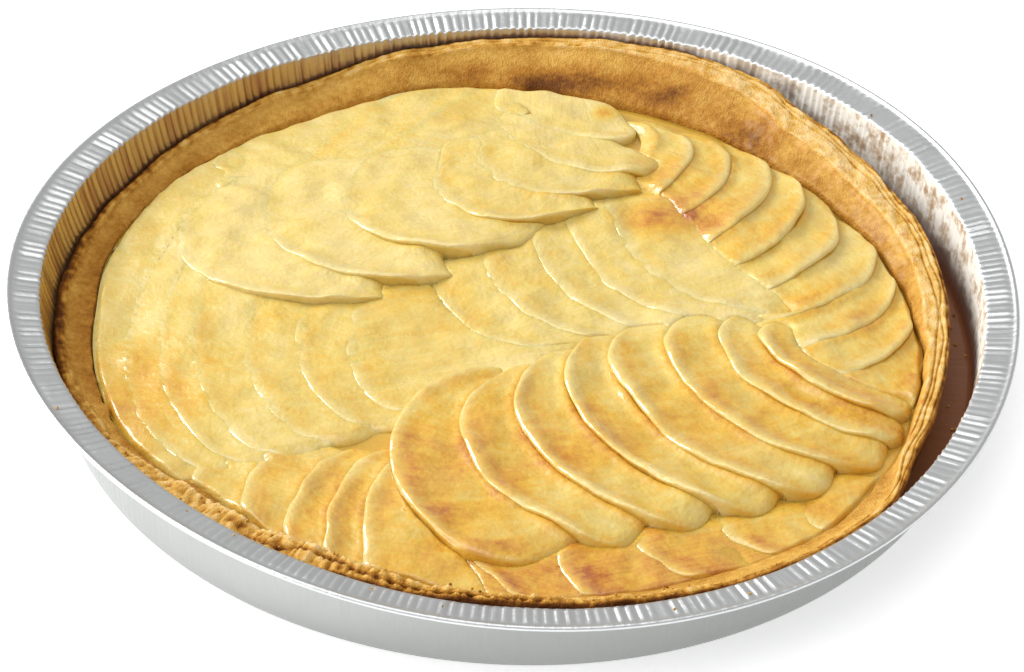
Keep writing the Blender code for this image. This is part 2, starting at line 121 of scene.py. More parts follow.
# Crumbs on the flange: degrees, how far in from the bead, and size
FLANGE_CRUMBS = ((205.0, 1.8, 1.1), (294.0, 2.4, 1.0), (286.0, 3.2, 1.1), (254.0, 5.6, 0.8), (262.0, 4.6, 0.6),
                 (236.0, 6.0, 0.9), (229.0, 5.2, 0.6), (247.0, 3.1, 0.5), (17.0, 4.4, 0.8), (38.0, 5.8, 0.7))
GAP_ARC = (-28.0, 50.0)
CRUST_ARC = (196.0, 300.0)

# Apple
FILLING_TOP = 10.5
SURFACE_LEVEL = 15.3
EDGE_DROP = {0: 2.0, 45: 2.0, 90: 1.2, 135: 2.2, 180: 3.2, 225: 1.2, 270: 0.6, 315: 0.8}
EDGE_DROP_START = 0.74
# Fans of slices, lowest first, as in the solids. Edges are given by a start, middle and end in plan
# for a few slices. Also by fan: how far it stands over the level and steps down at each edge, how
# far its ends bulge, its tone, how much of the edges shows from start to end, and where given, in
# millimetres, how far it reaches back or spreads out under the crust, its rounded corners, how far
# starts and ends run on or are drawn (first and last slice), and as shares of a slice how far the
# last one closes over and how blunt the ends are.
FANS = {
    "front_edge": {
        "roundness": 0.0, "lift": -0.9, "step": 1.3, "scallop": 1.0, "tone": 0.48, "reach": 0.0, "spread": 3.0,
        "edge_shows": (0.25, 0.3, 0.35, 0.4, 0.35),
        "edges": {
            0: ((-34, -70), (-34, -100), (-5, -118)), 2: ((8, -90), (14, -112), (34, -118)),
            5: ((70, -78), (80, -90), (104, -80)), 6: ((92, -60), (102, -66), (117, -56))}},
    "front_left": {
        "roundness": 0.4, "lift": -0.2, "step": 2.0, "scallop": 1.2, "tone": 0.30, "reach": 3.0, "spread": 3.0,
        "edge_shows": (0.25, 0.5, 0.65, 0.65, 0.6),
        "edges": {
            0: ((-88, -42), (-97, -62), (-84, -84)), 1: ((-72, -50), (-84, -66), (-76, -84)),
            3: ((-46, -60), (-57, -76), (-58, -95)), 5: ((-28, -62), (-40, -86), (-34, -114)),
            6: ((-14, -62), (-18, -88), (-4, -116))}},
    "right": {
        "roundness": 0.1, "lift": 0.2, "step": 2.4, "scallop": 2.4, "tone": 0.27, "reach": 4.0,
        "edge_shows": (0.8, 0.9, 0.8, 0.55, 0.3), "end_over": (13.0, 13.0),
        "edges": {
            0: ((115, -7), (112, -26), (100, -42)), 3: ((101, 36), (98, 13), (77, -4)),
            6: ((68, 79), (73, 56), (54, 30)), 9: ((31, 95), (41, 84), (33, 66)),
            10: ((20, 99), (26, 84), (22, 64))}},
    "back_edge": {
        "roundness": 0.0, "lift": -0.6, "step": 1.2, "scallop": 1.0, "tone": 0.14, "reach": 9.0, "spread": 8.0,
        "edge_shows": (0.2, 0.2, 0.3, 0.3, 0.3), "start_over": (14.0, 14.0),
        "edges": {
            0: ((-66, 92), (-92, 80), (-112, 48)), 3: ((-6, 108), (-30, 92), (-62, 60)),
            4: ((18, 102), (-10, 84), (-44, 50))}},
    "left": {
        "roundness": 0.5, "lift": 0.0, "step": 1.0, "scallop": 1.0, "tone": 0.17, "reach": 7.0, "closing_over": 1.0,
        "edge_shows": (0.02, 0.06, 0.16, 0.26, 0.3), "start_pulled": ((0.0, 0.0), (-3.0, 11.0)),
        "edges": {
            0: ((-76, 80), (-119, 5), (-93, -71)), 3: ((-80, 48), (-90, -18), (-63, -65)),
            6: ((-38, 8), (-46, -27), (-25, -48)), 7: ((-8, 14), (-10, -18), (-2, -34))}},
    "centre": {
        "roundness": 0.5, "lift": 0.0, "step": 1.5, "scallop": 1.0, "tone": 0.17, "reach": 0.0, "closing_over": 0.22,
        "edge_shows": (0.15, 0.35, 0.5, 0.4, 0.2), "start_pulled": ((-9.0, 13.0), (-9.0, 13.0)),
        "edges": {
            0: ((-18, 6), (-9, -14), (14, -16)), 2: ((11, 29), (14, 5), (42, -10)),
            4: ((34, 51), (36, 17), (74, -4)), 5: ((50, 44), (60, 25), (78, 0))}},
    "back_left": {
        "roundness": 0.5, "lift": 1.5, "step": 2.4, "scallop": 2.2, "tone": 0.14, "reach": 0.0, "closing_over": 0.35,
        "edge_shows": (0.0, 0.05, 0.5, 0.9, 1.0), "spread": 4.0, "corner": 9.0, "blunt": 0.2,
        "edges": {
            0: ((-93, 55), (-88, 13), (-38, 4)), 1: ((-72, 68), (-65, 23), (-18, 13)),
            2: ((-47, 73), (-45, 35), (-3, 25)), 3: ((-24, 78), (-14, 41), (23, 48)),
            5: ((-4, 88), (15, 66), (46, 66)), 7: ((-6, 107), (12, 104), (31, 97))}},
    "front": {
        "roundness": 0.5, "lift": 0.9, "step": 2.7, "scallop": 3.0, "tone": 0.31, "reach": 0.0,
        "edge_shows": (0.5, 0.9, 1.0, 0.9, 0.8), "corner": 6.0, "blunt": 0.08,
        "edges": {
            0: ((-6, -24), (-34, -62), (-8, -107)), 1: ((-4, -32), (-13, -66), (22, -100)),
            4: ((27, -11), (36, -54), (74, -80)), 6: ((56, -4), (67, -41), (104, -58)),
            8: ((77, -9), (85, -28), (110, -37))}},
}
# Browner places in plan: x, y, half widths in x and y, and how much browner
BAKED_PLACES = (
    (-20.0, -70.0, 13.0, 15.0, 0.22), (-4.0, -62.0, 12.0, 20.0, 0.14), (17.0, -60.0, 14.0, 16.0, 0.20),
    (36.0, -60.0, 15.0, 12.0, 0.12), (47.0, -42.0, 11.0, 9.0, 0.16), (90.0, -46.0, 20.0, 5.0, 0.16),
    (42.0, 42.0, 12.0, 9.0, 0.55), (-18.9, -89.0, 6.0, 3.5, 0.40), (-3.0, -100.5, 6.0, 3.0, 0.45),
    (26.0, 97.5, 3.5, 3.0, 0.6), (-17.0, -9.0, 8.0, 5.0, 0.14), (-42.0, -14.0, 20.0, 14.0, 0.08),
    (108.0, -33.0, 6.0, 6.0, 0.25), (100.0, -6.0, 10.0, 12.0, 0.12), (80.0, 2.0, 8.0, 7.0, 0.28),
    (45.0, -8.0, 30.0, 8.0, -0.18), (0.0, -26.0, 14.0, 8.0, -0.14), (-54.0, -84.0, 24.0, 16.0, 0.08),
    (22.0, -94.0, 9.0, 5.0, -0.14), (50.0, -86.0, 10.0, 5.0, -0.12), (74.0, -74.0, 10.0, 5.0, -0.12),
    (42.0, 62.0, 9.0, 12.0, 0.24), (66.0, 34.0, 10.0, 14.0, 0.14), (-102.0, -38.0, 18.0, 24.0, 0.36),
    (20.0, -108.0, 50.0, 9.0, 0.16), (-30.0, 4.0, 16.0, 6.0, 0.14),
)
# Where neighbouring slices have baked into one: x, y, half widths in x and y, and how much
MERGED_PLACES = (
    (-112.0, 0.0, 26.0, 80.0, 0.8), (-88.0, 60.0, 34.0, 40.0, 0.95), (-36.0, 96.0, 44.0, 20.0, 0.95),
    (-56.0, 52.0, 26.0, 26.0, 0.55), (-66.0, -30.0, 34.0, 34.0, 0.4), (26.0, 22.0, 26.0, 22.0, 0.35),
    (-10.0, -14.0, 16.0, 12.0, 0.8), (14.0, 90.0, 28.0, 16.0, 0.85), (56.0, 16.0, 12.0, 16.0, 0.6),
    (-24.0, -52.0, 16.0, 10.0, 0.4),
)
ALONG_STEPS = 64
ACROSS_STEPS = 22
UNDER_NEXT = 1.3          # a slice runs on under its neighbour to this share of its width
END_SHARE = 0.2
PULLED_SHARE = 0.35       # share of a slice that is drawn out with its start
END_DROOP = 1.3           # how far a slice's ends sag
CORNER = 5.0              # how far its corners are rounded back in plan
LIP_ANGLES = (0.0, 22.0, 45.0, 68.0, 90.0)
LIP_WIDE = 3.1            # a slice's rounded edge, in roundings, across and down
LIP_DEEP = 1.35
CREST = 0.8               # how far the rim of a slice curls up
SINK = 3.2                # how far a slice is pressed down under a fan over it
SINK_RUN = 2.5            # within this distance of that fan's border
MERGE_REACH = 3.4         # and this much further in where the two have merged
CRUST_START = 1.6         # how far before the crust a slice begins to be squeezed
CRUST_PRESS = 1.8         # how much it is squeezed at most, and how far it dips there
CRUST_DIP = 3.6
SHORTEST_RUN = 1e-6       # keeps the length of a direction above zero
BULGE_LIMIT = 0.2         # largest bulge of a slice's end, as a share of its width there
CRUMB_SEED = 11

# Camera fitted to the photograph's rim, in rim radii and pixels of a 1024 by 672 image
IMAGE_WIDTH = 1024.0
CAMERA_ELEVATION = 37.121
CAMERA_DISTANCE = 6.5
CAMERA_FOCAL_PIXELS = 3284.5
CAMERA_AIM = (-0.0131, -0.1906)
SENSOR = 36.0


def srgb(red, green, blue):
    """A colour by its display values from 0 to 255, as the linear one that materials use."""
    def linear(value):
        share = value / 255.0
        return share / 12.92 if share <= 0.04045 else ((share + 0.055) / 1.055) ** 2.4
    return (linear(red), linear(green), linear(blue))


# Shapes in plan and section

def smooth(value):
    value = np.clip(value, 0.0, 1.0)
    return value * value * (3.0 - 2.0 * value)


def around(table, angle):
    """Read a table of values by degrees at angles in radians, eased from key to key."""
    keys = np.array(sorted(table), float)
    values = np.array([table[key] for key in sorted(table)], float)
    keys, values = np.append(keys, keys[0] + 360.0), np.append(values, values[0])
    degrees = np.degrees(angle) % 360.0
    degrees = np.where(degrees < keys[0], degrees + 360.0, degrees)
    low = np.clip(np.searchsorted(keys, degrees, side="right") - 1, 0, len(keys) - 2)
    share = smooth((degrees - keys[low]) / (keys[low + 1] - keys[low]))
    return values[low] + (values[low + 1] - values[low]) * share


def lumps(points, size, seed=0.0):
    """Smooth noise at points in millimetres, about -0.6 to 0.6, whose lumps have a given size."""
    shift = Vector((seed, 1.7 * seed, -0.6 * seed))
    return np.array([noise.noise(Vector(point) / size + shift) for point in points])


def out_of_round(angle):
    return (TWO_LOBES_SIN * np.sin(2 * angle) + THREE_LOBES_COS * np.cos(3 * angle)
            + THREE_LOBES_SIN * np.sin(3 * angle))


def pressed(radius, z, angle):
    share = FOOT_SHARE + (1.0 - FOOT_SHARE) * smooth(z / TIN_HEIGHT)
    return radius * (1.0 + share * out_of_round(angle))


def wall_radius(z, angle):
    top = RIM_RADIUS - FLANGE_WIDTH
    share = np.clip(z / (TIN_HEIGHT - FLANGE_DROP), 0.0, 1.0)
    return pressed(FOOT_RADIUS + (top - FOOT_RADIUS) * share, z, angle)


def rim_middle():
    """Middle of the rim's box, which is the model's origin."""
    angle = 2 * np.pi * np.arange(96) / 96
    radius = pressed(RIM_RADIUS, TIN_HEIGHT - BEAD, angle)
    x, y = radius * np.cos(angle), radius * np.sin(angle)
    return np.array([(x.max() + x.min()) / 2, (y.max() + y.min()) / 2, 0.0])


MIDDLE = rim_middle()


def surface_level(x, y):
    angle = np.arctan2(y, x)
    share = np.hypot(x, y) / around(APPLE_EDGE, angle)
    fall = smooth((share - EDGE_DROP_START) / (1 - EDGE_DROP_START))
    return SURFACE_LEVEL - around(EDGE_DROP, angle) * fall


def merged(x, y):
    """How far neighbouring slices have baked into one at places in plan, from 0 to 1."""
    total = sum(much * np.exp(-(((x - at_x) / wide) ** 2 + ((y - at_y) / deep) ** 2))
                for at_x, at_y, wide, deep, much in MERGED_PLACES)
    return np.clip(total, 0.0, 0.95)


def fan_edge(fan, number, along):
    """Plan points of a fan's edges: number counts the edges, along runs from 0 to 1 on each."""
    keys = sorted(fan["edges"])
    number = np.asarray(number, float)
    past = np.maximum(number - keys[-1], 0.0)

    def corner(which, axis):
        values = [fan["edges"][key][which][axis] for key in keys]
        run = values[-1] - np.interp(keys[-1] - 1, keys, values)
        return np.interp(number, keys, values) + past * run

    start, middle, end = (np.stack([corner(which, axis) for axis in (0, 1)], -1) for which in range(3))
    along = np.asarray(along, float)[..., None]
    centre = (start + end) / 2
    half = centre + np.cos(np.pi * along) * (start - end) / 2 + np.sin(np.pi * along) * (middle - centre)
    curve = (start * (1 - along) * (1 - 2 * along) + 4 * along * (1 - along) * middle
             + end * along * (2 * along - 1))
    return fan["roundness"] * half + (1 - fan["roundness"]) * curve


def slice_plan(fan, number, across, along):
    """Plan points of one slice, with its ends bulging a little."""
    within = np.clip(across, 0.0, 1.0)
    along = along - fan.get("blunt", 0.0) * within * smooth((along - 0.5) / 0.5)
    here = fan_edge(fan, number + across, along)
    heart = fan_edge(fan, np.array(number + 0.5), np.array(0.5))
    for end in (0.0, 1.0):
        first, second = (fan_edge(fan, np.array(float(number + side)), np.array(end)) for side in (0, 1))
        run = second - first
        out = np.array([run[1], -run[0]]) / max(np.linalg.norm(run), SHORTEST_RUN)
        if np.dot(out, heart - first) > 0:
            out = -out
        bulge = min(fan["scallop"], BULGE_LIMIT * np.linalg.norm(run))
        near = 1.0 - smooth((np.abs(along - end) - fan.get("blunt", 0.0) * within * end) / END_SHARE)
        here = here + out * (bulge * 4 * within * (1 - within) * near)[..., None]
    if number == 0 and fan["reach"]:
        back = fan_edge(fan, np.zeros_like(across), along) - fan_edge(fan, np.full_like(across, 0.5), along)
        back = back / np.maximum(np.linalg.norm(back, axis=-1), SHORTEST_RUN)[..., None]
        fade = smooth(np.minimum(along, 1 - along) / 0.12)
        here = here + back * (fan["reach"] * fade * (1 - within) ** 2)[..., None]
    if "start_pulled" in fan:
        first, last = (np.array(pull) for pull in fan["start_pulled"])
        turn = ((number + within) / max(fan["edges"]))[..., None]
        here = here + (1 - smooth(along / PULLED_SHARE))[..., None] * (first + (last - first) * turn)
    return here


def slice_length(fan, number):
    line = fan_edge(fan, np.full(33, number + 0.5), np.linspace(0, 1, 33))
    return np.linalg.norm(np.diff(line, axis=0), axis=1).sum()


def bent_along(fan, number, across, along):
    """Where a slice's rows lie along its edges: drawn in at its corners, carried on past its ends."""
    length = slice_length(fan, number)
    corner = fan.get("corner", CORNER) / length * np.clip(1 - across / 0.45, 0, 1) ** 2
    last = max(fan["edges"]) - 1
    before, after = (np.interp(number, (0, last), fan.get(key, (0.0, 0.0))) / length
                     for key in ("start_over", "end_over"))
    return corner + along * (1 - 2 * corner) - before * (1 - along) ** 2 + after * along ** 2


def fan_border(fan):
    """Outline of a whole fan in plan."""
    last = max(fan["edges"])
    steps = np.linspace(0.0, 1.0, 25)
    across = np.linspace(0.0, 1.0, 9)

    def side(number, over, along):
        return slice_plan(fan, number, over, bent_along(fan, number, over, along))

    border = [side(0, np.zeros(25), steps)]
    border += [side(number, across, np.ones(9)) for number in range(last)]
    border += [side(last - 1, np.ones(25), steps[::-1])]
    border += [side(number, across[::-1], np.zeros(9)) for number in reversed(range(last))]
    points = np.concatenate(border)
    keep = np.linalg.norm(points - np.roll(points, 1, axis=0), axis=1) > 0.05
    return points[keep]


def depth_inside(points, border):
    """How far plan points lie inside a closed outline, and 0 outside it."""
    start, end = border, np.roll(border, -1, axis=0)
    run = end - start
    toward = points[:, None, :] - start[None]
    share = np.clip((toward * run).sum(-1) / (run * run).sum(-1), 0.0, 1.0)
    distance = np.linalg.norm(toward - share[..., None] * run, axis=-1).min(1)
    y = points[:, 1:2]
    crossed = (start[:, 1] > y) != (end[:, 1] > y)
    rise = np.where(np.abs(run[:, 1]) < 1e-9, 1e-9, run[:, 1])
    at = start[:, 0] + (y - start[:, 1]) * run[:, 0] / rise
    inside = (crossed & (points[:, 0:1] < at)).sum(1) % 2 == 1
    return np.where(inside, distance, 0.0)


# Meshes

def grid(columns, rows):
    """A flat bmesh grid, and the column and row of each of its vertices."""
    work = bmesh.new()
    bmesh.ops.create_grid(work, x_segments=columns, y_segments=rows, size=1.0)
    flat = np.array([vert.co[:2] for vert in work.verts])
    column = np.rint((flat[:, 0] + 1) / 2 * columns).astype(int)
    row = np.rint((flat[:, 1] + 1) / 2 * rows).astype(int)
    return work, column, row


def mesh_from(work, name, points, masks=None, layout=None):
    """Move a grid's vertices to points in millimetres and keep it as a mesh with its masks.

    A grid with a UV layout is a slice and is closed below; any other is closed round the middle."""
    places = (points - MIDDLE) * MM
    layers = [(work.verts.layers.float.new(key), values) for key, values in (masks or {}).items()]
    for index, vert in enumerate(work.verts):
        vert.co = places[index]
        for layer, values in layers:
            vert[layer] = float(values[index])
    if layout:
        across, along = layout
        uv = work.loops.layers.uv.new("UVMap")
        for face in work.faces:
            for loop in face.loops:
                loop[uv].uv = (across[loop.vert.index], along[loop.vert.index])
        close_below(work, (FILLING_TOP + GAP) * MM)
    else:
        bmesh.ops.remove_doubles(work, verts=work.verts, dist=WELD)
        bmesh.ops.dissolve_degenerate(work, dist=WELD / 10, edges=work.edges)
        bmesh.ops.recalc_face_normals(work, faces=work.faces)
    mesh = bpy.data.meshes.new(name)
    work.to_mesh(mesh)
    work.free()
    mesh.shade_smooth()
    return mesh


def close_below(work, floor):
    """Carry a sheet's open border straight down to a level and close the bottom."""
    border = [edge for edge in work.edges if edge.is_boundary]
    made = bmesh.ops.extrude_edge_only(work, edges=border)
    new = made["geom"]
    for item in new:
        if isinstance(item, bmesh.types.BMVert):
            item.co.z = min(item.co.z, floor)
    rim = [item for item in new if isinstance(item, bmesh.types.BMEdge) and item.is_boundary]
    bmesh.ops.holes_fill(work, edges=rim, sides=0)
    bmesh.ops.recalc_face_normals(work, faces=work.faces)


def place(name, mesh, material, slot, *nodes):
    """Make a mesh a piece of the tart, in place of the named solids."""
    mesh.materials.append(material)
    piece = bpy.data.objects.new(name, mesh)
    bpy.context.collection.objects.link(piece)
    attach(piece, "root")
    if nodes:
        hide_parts(*nodes)


# Shader nodes

def feed(tree, node, inputs):
    """Give a node its inputs: a socket is linked, and any other value is set."""
    for key, value in inputs.items():
        if isinstance(value, bpy.types.NodeSocket):
            tree.links.new(value, node.inputs[key])
        else:
            node.inputs[key].default_value = value


def add_node(tree, kind, inputs=None, **settings):
    made = tree.nodes.new(kind)
    for key, value in settings.items():
        setattr(made, key, value)
    feed(tree, made, inputs or {})
    return made


def math_node(tree, operation, first, second, clamp=False):
    return add_node(tree, "ShaderNodeMath", {0: first, 1: second}, operation=operation, use_clamp=clamp).outputs[0]


def plus(tree, first, second, clamp=False):
    return math_node(tree, "ADD", first, second, clamp)


def times(tree, first, second, clamp=False):
    return math_node(tree, "MULTIPLY", first, second, clamp)


def mix_colours(tree, share, first, second):
    made = tree.nodes.new("ShaderNodeMix")
    made.data_type = "RGBA"
    feed(tree, made, {index: (*value[:3], 1.0) if isinstance(value, tuple) else value
                      for index, value in ((0, share), (6, first), (7, second))})
    return made.outputs[2]


def ramp(tree, share, stops):
    """A colour ramp over (position, colour) stops."""
    made = tree.nodes.new("ShaderNodeValToRGB")
    band = made.color_ramp
    while len(band.elements) < len(stops):
        band.elements.new(1.0)
    for element, (position, colour) in zip(band.elements, stops):
        element.position = position
        element.color = (*colour[:3], 1.0)
    tree.links.new(share, made.inputs[0])
    return made.outputs[0]


def mask(tree, name):
    return add_node(tree, "ShaderNodeAttribute", attribute_name=name).outputs["Fac"]


def new_group(name, inputs, outputs):
    """An empty shader group with float, vector or colour sockets by name."""
    tree = bpy.data.node_groups.new(name, "ShaderNodeTree")
    for key, (kind, default) in inputs.items():
        socket = tree.interface.new_socket(name=key, in_out="INPUT", socket_type=kind)
        if default is not None:
            socket.default_value = default
    for key, kind in outputs.items():
        tree.interface.new_socket(name=key, in_out="OUTPUT", socket_type=kind)
    return tree, tree.nodes.new("NodeGroupInput").outputs, tree.nodes.new("NodeGroupOutput").inputs


def mottle_group():
    """Soft blotches of a given size: how browned or dusty a place is."""
    found = bpy.data.node_groups.get("Mottle")
    if found:
        return found
    tree, given, result = new_group(
        "Mottle", {"Position": ("NodeSocketVector", None), "Blotches per metre": ("NodeSocketFloat", 60.0),
                   "Roughness": ("NodeSocketFloat", 0.6), "Contrast": ("NodeSocketFloat", 1.6)},
        {"Amount": "NodeSocketFloat"})
    cloud = add_node(tree, "ShaderNodeTexNoise", {"Vector": given["Position"], "Scale": given["Blotches per metre"],
                                                  "Detail": 5.0, "Roughness": given["Roughness"]})
    centred = math_node(tree, "SUBTRACT", cloud.outputs[0], 0.5)
    tree.links.new(times(tree, centred, given["Contrast"]), result["Amount"])
    return tree


def streak_group():
    """Fine streaks that run up the foil's wall and out over its flange."""
    found = bpy.data.node_groups.get("Streaks")
    if found:
        return found
    tree, given, result = new_group(
        "Streaks", {"Position": ("NodeSocketVector", None), "Streaks per metre": ("NodeSocketFloat", 500.0)},
        {"Amount": "NodeSocketFloat"})
    flat = add_node(tree, "ShaderNodeVectorMath", {0: given["Position"], 1: (1.0, 1.0, 0.0)}, operation="MULTIPLY")
    turned = add_node(tree, "ShaderNodeVectorMath", {0: flat.outputs[0]}, operation="NORMALIZE")
    ring = add_node(tree, "ShaderNodeVectorMath", {0: turned.outputs[0]}, operation="SCALE")
    ring.inputs["Scale"].default_value = STREAK_CIRCLE
    wander = add_node(tree, "ShaderNodeVectorMath", {0: given["Position"]}, operation="SCALE")
    wander.inputs["Scale"].default_value = 0.08
    spot = add_node(tree, "ShaderNodeVectorMath", {0: ring.outputs[0], 1: wander.outputs[0]}, operation="ADD")
    cloud = add_node(tree, "ShaderNodeTexNoise", {"Vector": spot.outputs[0], "Scale": given["Streaks per metre"],
                                                  "Detail": 2.0})
    tree.links.new(math_node(tree, "SUBTRACT", cloud.outputs[0], 0.5), result["Amount"])
    return tree


def grain_group():
    """Fine relief from two sizes of noise and small pits."""
    found = bpy.data.node_groups.get("Grain")
    if found:
        return found
    tree, given, result = new_group(
        "Grain", {"Position": ("NodeSocketVector", None), "Coarse per metre": ("NodeSocketFloat", 250.0),
                  "Fine per metre": ("NodeSocketFloat", 1200.0), "Pits": ("NodeSocketFloat", 0.3)},
        {"Height": "NodeSocketFloat"})
    coarse = add_node(tree, "ShaderNodeTexNoise", {"Vector": given["Position"], "Scale": given["Coarse per metre"],
                                                   "Detail": 3.0})
    fine = add_node(tree, "ShaderNodeTexNoise", {"Vector": given["Position"], "Scale": given["Fine per metre"],
                                                 "Detail": 2.0})
    cells = add_node(tree, "ShaderNodeTexVoronoi", {"Vector": given["Position"], "Scale": given["Fine per metre"]})
    pits = times(tree, cells.outputs["Distance"], given["Pits"])
    height = plus(tree, coarse.outputs[0], times(tree, fine.outputs[0], 0.4))
    tree.links.new(plus(tree, height, pits), result["Height"])
    return tree


def use_group(tree, group, inputs):
    made = tree.nodes.new("ShaderNodeGroup")
    made.node_tree = group
    feed(tree, made, inputs)
    return made.outputs[0]


def mottle(tree, position, per_metre, contrast):
    return use_group(tree, mottle_group(),
                     {"Position": position, "Blotches per metre": per_metre, "Contrast": contrast})


def grain(tree, position, coarse, fine, pits=0.3):
    return use_group(tree, grain_group(),
                     {"Position": position, "Coarse per metre": coarse, "Fine per metre": fine, "Pits": pits})


def new_material(name):
    made = bpy.data.materials.new(name)
    made.use_nodes = True
    tree = made.node_tree
    shader = tree.nodes["Principled BSDF"]
    place_in = tree.nodes.new("ShaderNodeTexCoord").outputs["Object"]
    return made, tree, shader, place_in


def set_inputs(node, values):
    for key, value in values.items():
        node.inputs[key].default_value = value


def bump(tree, shader, height, strength, distance):
    made = add_node(tree, "ShaderNodeBump", {"Height": height, "Strength": strength, "Distance": distance})
    tree.links.new(made.outputs[0], shader.inputs["Normal"])


def sum_of(tree, *terms, clamp=False):
    """Add up shader values; only the whole sum is clamped."""
    total = terms[0]
    for term in terms[1:-1]:
        total = plus(tree, total, term)
    return plus(tree, total, terms[-1], clamp)


def foil_material(sizes):
    made, tree, shader, position = new_material("pressed_foil")
    dull = mottle(tree, position, 90.0, 0.5)
    residue = mask(tree, "residue")
    patches = mottle(tree, position, 140.0, 2.2)
    crusted = plus(tree, times(tree, residue, 1.3), patches, clamp=True)
    crusted = times(tree, crusted, math_node(tree, "GREATER_THAN", residue, 0.02))
    streaks = use_group(tree, streak_group(), {"Position": position, "Streaks per metre": 420.0})
    # The gold tint is baked-on butter and partly a painted reflection of the crust; its darker streaks are painted
    # shadow streaks, partly scorched juice
    darker = times(tree, plus(tree, streaks, 0.02, clamp=True), 3.4, clamp=True)
    stain_and_shadow_streaks = mix_colours(tree, darker, sizes.stain_and_reflection_colour[:], sizes.burnt_and_shade_colour[:])
    bare = mix_colours(tree, mask(tree, "stain_and_reflection"), sizes.foil_colour[:], stain_and_shadow_streaks)
    # The outer side is darker: partly duller foil, partly painted shade for the darker room that the outer wall would
    # reflect
    bare = mix_colours(tree, mask(tree, "outside"), bare, sizes.outside_colour[:])
    speckles = mottle(tree, position, 460.0, 1.3)
    baked_on = ramp(tree, sum_of(tree, patches, speckles, streaks, 0.4, clamp=True),
                    ((0.0, srgb(178, 146, 112)), (0.28, srgb(214, 200, 180)), (0.5, srgb(244, 238, 226))))
    covered = mix_colours(tree, crusted, bare, baked_on)
    # Dark brown low on the inside: scorched juice, and partly painted shade at the bottom of the gap
    burnt_and_shade = mask(tree, "burnt_and_shade")
    tree.links.new(mix_colours(tree, burnt_and_shade, covered, sizes.burnt_and_shade_colour[:]), shader.inputs["Base Color"])
    dulled = plus(tree, crusted, burnt_and_shade, clamp=True)
    tree.links.new(math_node(tree, "SUBTRACT", 1.0, dulled, clamp=True), shader.inputs["Metallic"])
    rough = sum_of(tree, times(tree, crusted, 0.35), times(tree, dull, 0.3),
                   sizes.foil_roughness)
    tree.links.new(math_node(tree, "MAXIMUM", rough, 0.12), shader.inputs["Roughness"])
    relief = grain(tree, position, 120.0, 700.0)
    pleats = times(tree, streaks, math_node(tree, "SUBTRACT", 2.6, mask(tree, "outside")))
    bump(tree, shader, plus(tree, relief, pleats), 0.3, 0.0004)
    return made


def pastry_material(sizes):
    made, tree, shader, position = new_material("baked_pastry")
    blotches = mottle(tree, position, 110.0, 0.55)
    flecks = mottle(tree, position, 620.0, 0.45)
    # The crust's baked-colour mask also carries painted light and shade
    tone = sum_of(tree, mask(tree, "bake_and_shade"), blotches, flecks, clamp=True)
    colour = ramp(tree, tone, ((0.0, sizes.pale[:]), (0.34, sizes.tan[:]), (0.6, sizes.brown[:]),
                               (0.82, sizes.dark[:]), (1.0, sizes.scorched[:])))
    blister = mottle(tree, position, 260.0, 5.0)
    red = times(tree, plus(tree, blister, -0.3, clamp=True), mask(tree, "blistered"))
    tree.links.new(mix_colours(tree, red, colour, sizes.blister[:]), shader.inputs["Base Color"])
    set_inputs(shader, {"Roughness": 0.6, "Specular IOR Level": 0.15})
    tree.links.new(times(tree, mask(tree, "glazed"), 0.15), shader.inputs["Coat Weight"])
    set_inputs(shader, {"Coat Roughness": 0.2, "Subsurface Weight": 0.12, "Subsurface Radius": (1.0, 0.5, 0.25),
                        "Subsurface Scale": 0.0015})
    relief = grain(tree, position, 450.0, 1700.0, 0.7)
    bump(tree, shader, relief, 0.6, 0.0006)
    return made


def apple_material(sizes):
    made, tree, shader, position = new_material("glazed_apple")
    along = tree.nodes.new("ShaderNodeUVMap")
    along.uv_map = "UVMap"
    stretched = add_node(tree, "ShaderNodeMapping", {"Vector": along.outputs[0], "Scale": (2.0, 34.0, 1.0)})
    fibres = mottle(tree, stretched.outputs[0], 1.0, 0.6)
    blotches = mottle(tree, position, 85.0, 0.7)
    flecks = mottle(tree, position, 420.0, 0.42)
    # This mask also carries painted shade under and below the slices' edges and a painted highlight on their crests
    browned_and_shaded = mask(tree, "browning_and_shade")
    streaks = times(tree, fibres, plus(tree, browned_and_shaded, 0.35))
    uneven = times(tree, plus(tree, blotches, flecks),
                       plus(tree, times(tree, browned_and_shaded, 1.9), 0.3))
    tone = sum_of(tree, browned_and_shaded, uneven, streaks, clamp=True)
    colour = ramp(tree, tone, ((0.0, sizes.cream[:]), (0.22, sizes.yellow[:]), (0.45, sizes.gold[:]),
                               (0.7, sizes.brown[:]), (1.0, sizes.scorched[:])))
    tree.links.new(colour, shader.inputs["Base Color"])
    gloss = plus(tree, times(tree, flecks, 0.8), sizes.roughness)
    tree.links.new(math_node(tree, "MAXIMUM", gloss, 0.2), shader.inputs["Roughness"])
    set_inputs(shader, {"Subsurface Weight": 0.35, "Subsurface Radius": (1.0, 0.55, 0.2), "Subsurface Scale": 0.003})
    glaze = mottle(tree, position, 70.0, 2.2)
    tree.links.new(sum_of(tree, glaze, mask(tree, "wet"), sizes.glaze, clamp=True), shader.inputs["Coat Weight"])
    set_inputs(shader, {"Coat Roughness": 0.09, "Coat IOR": 1.75})
    relief = grain(tree, position, 170.0, 700.0, 0.1)
    soft_fibres = times(tree, fibres, 0.6)
    bump(tree, shader, plus(tree, relief, soft_fibres), 0.45, 0.0013)
    return made


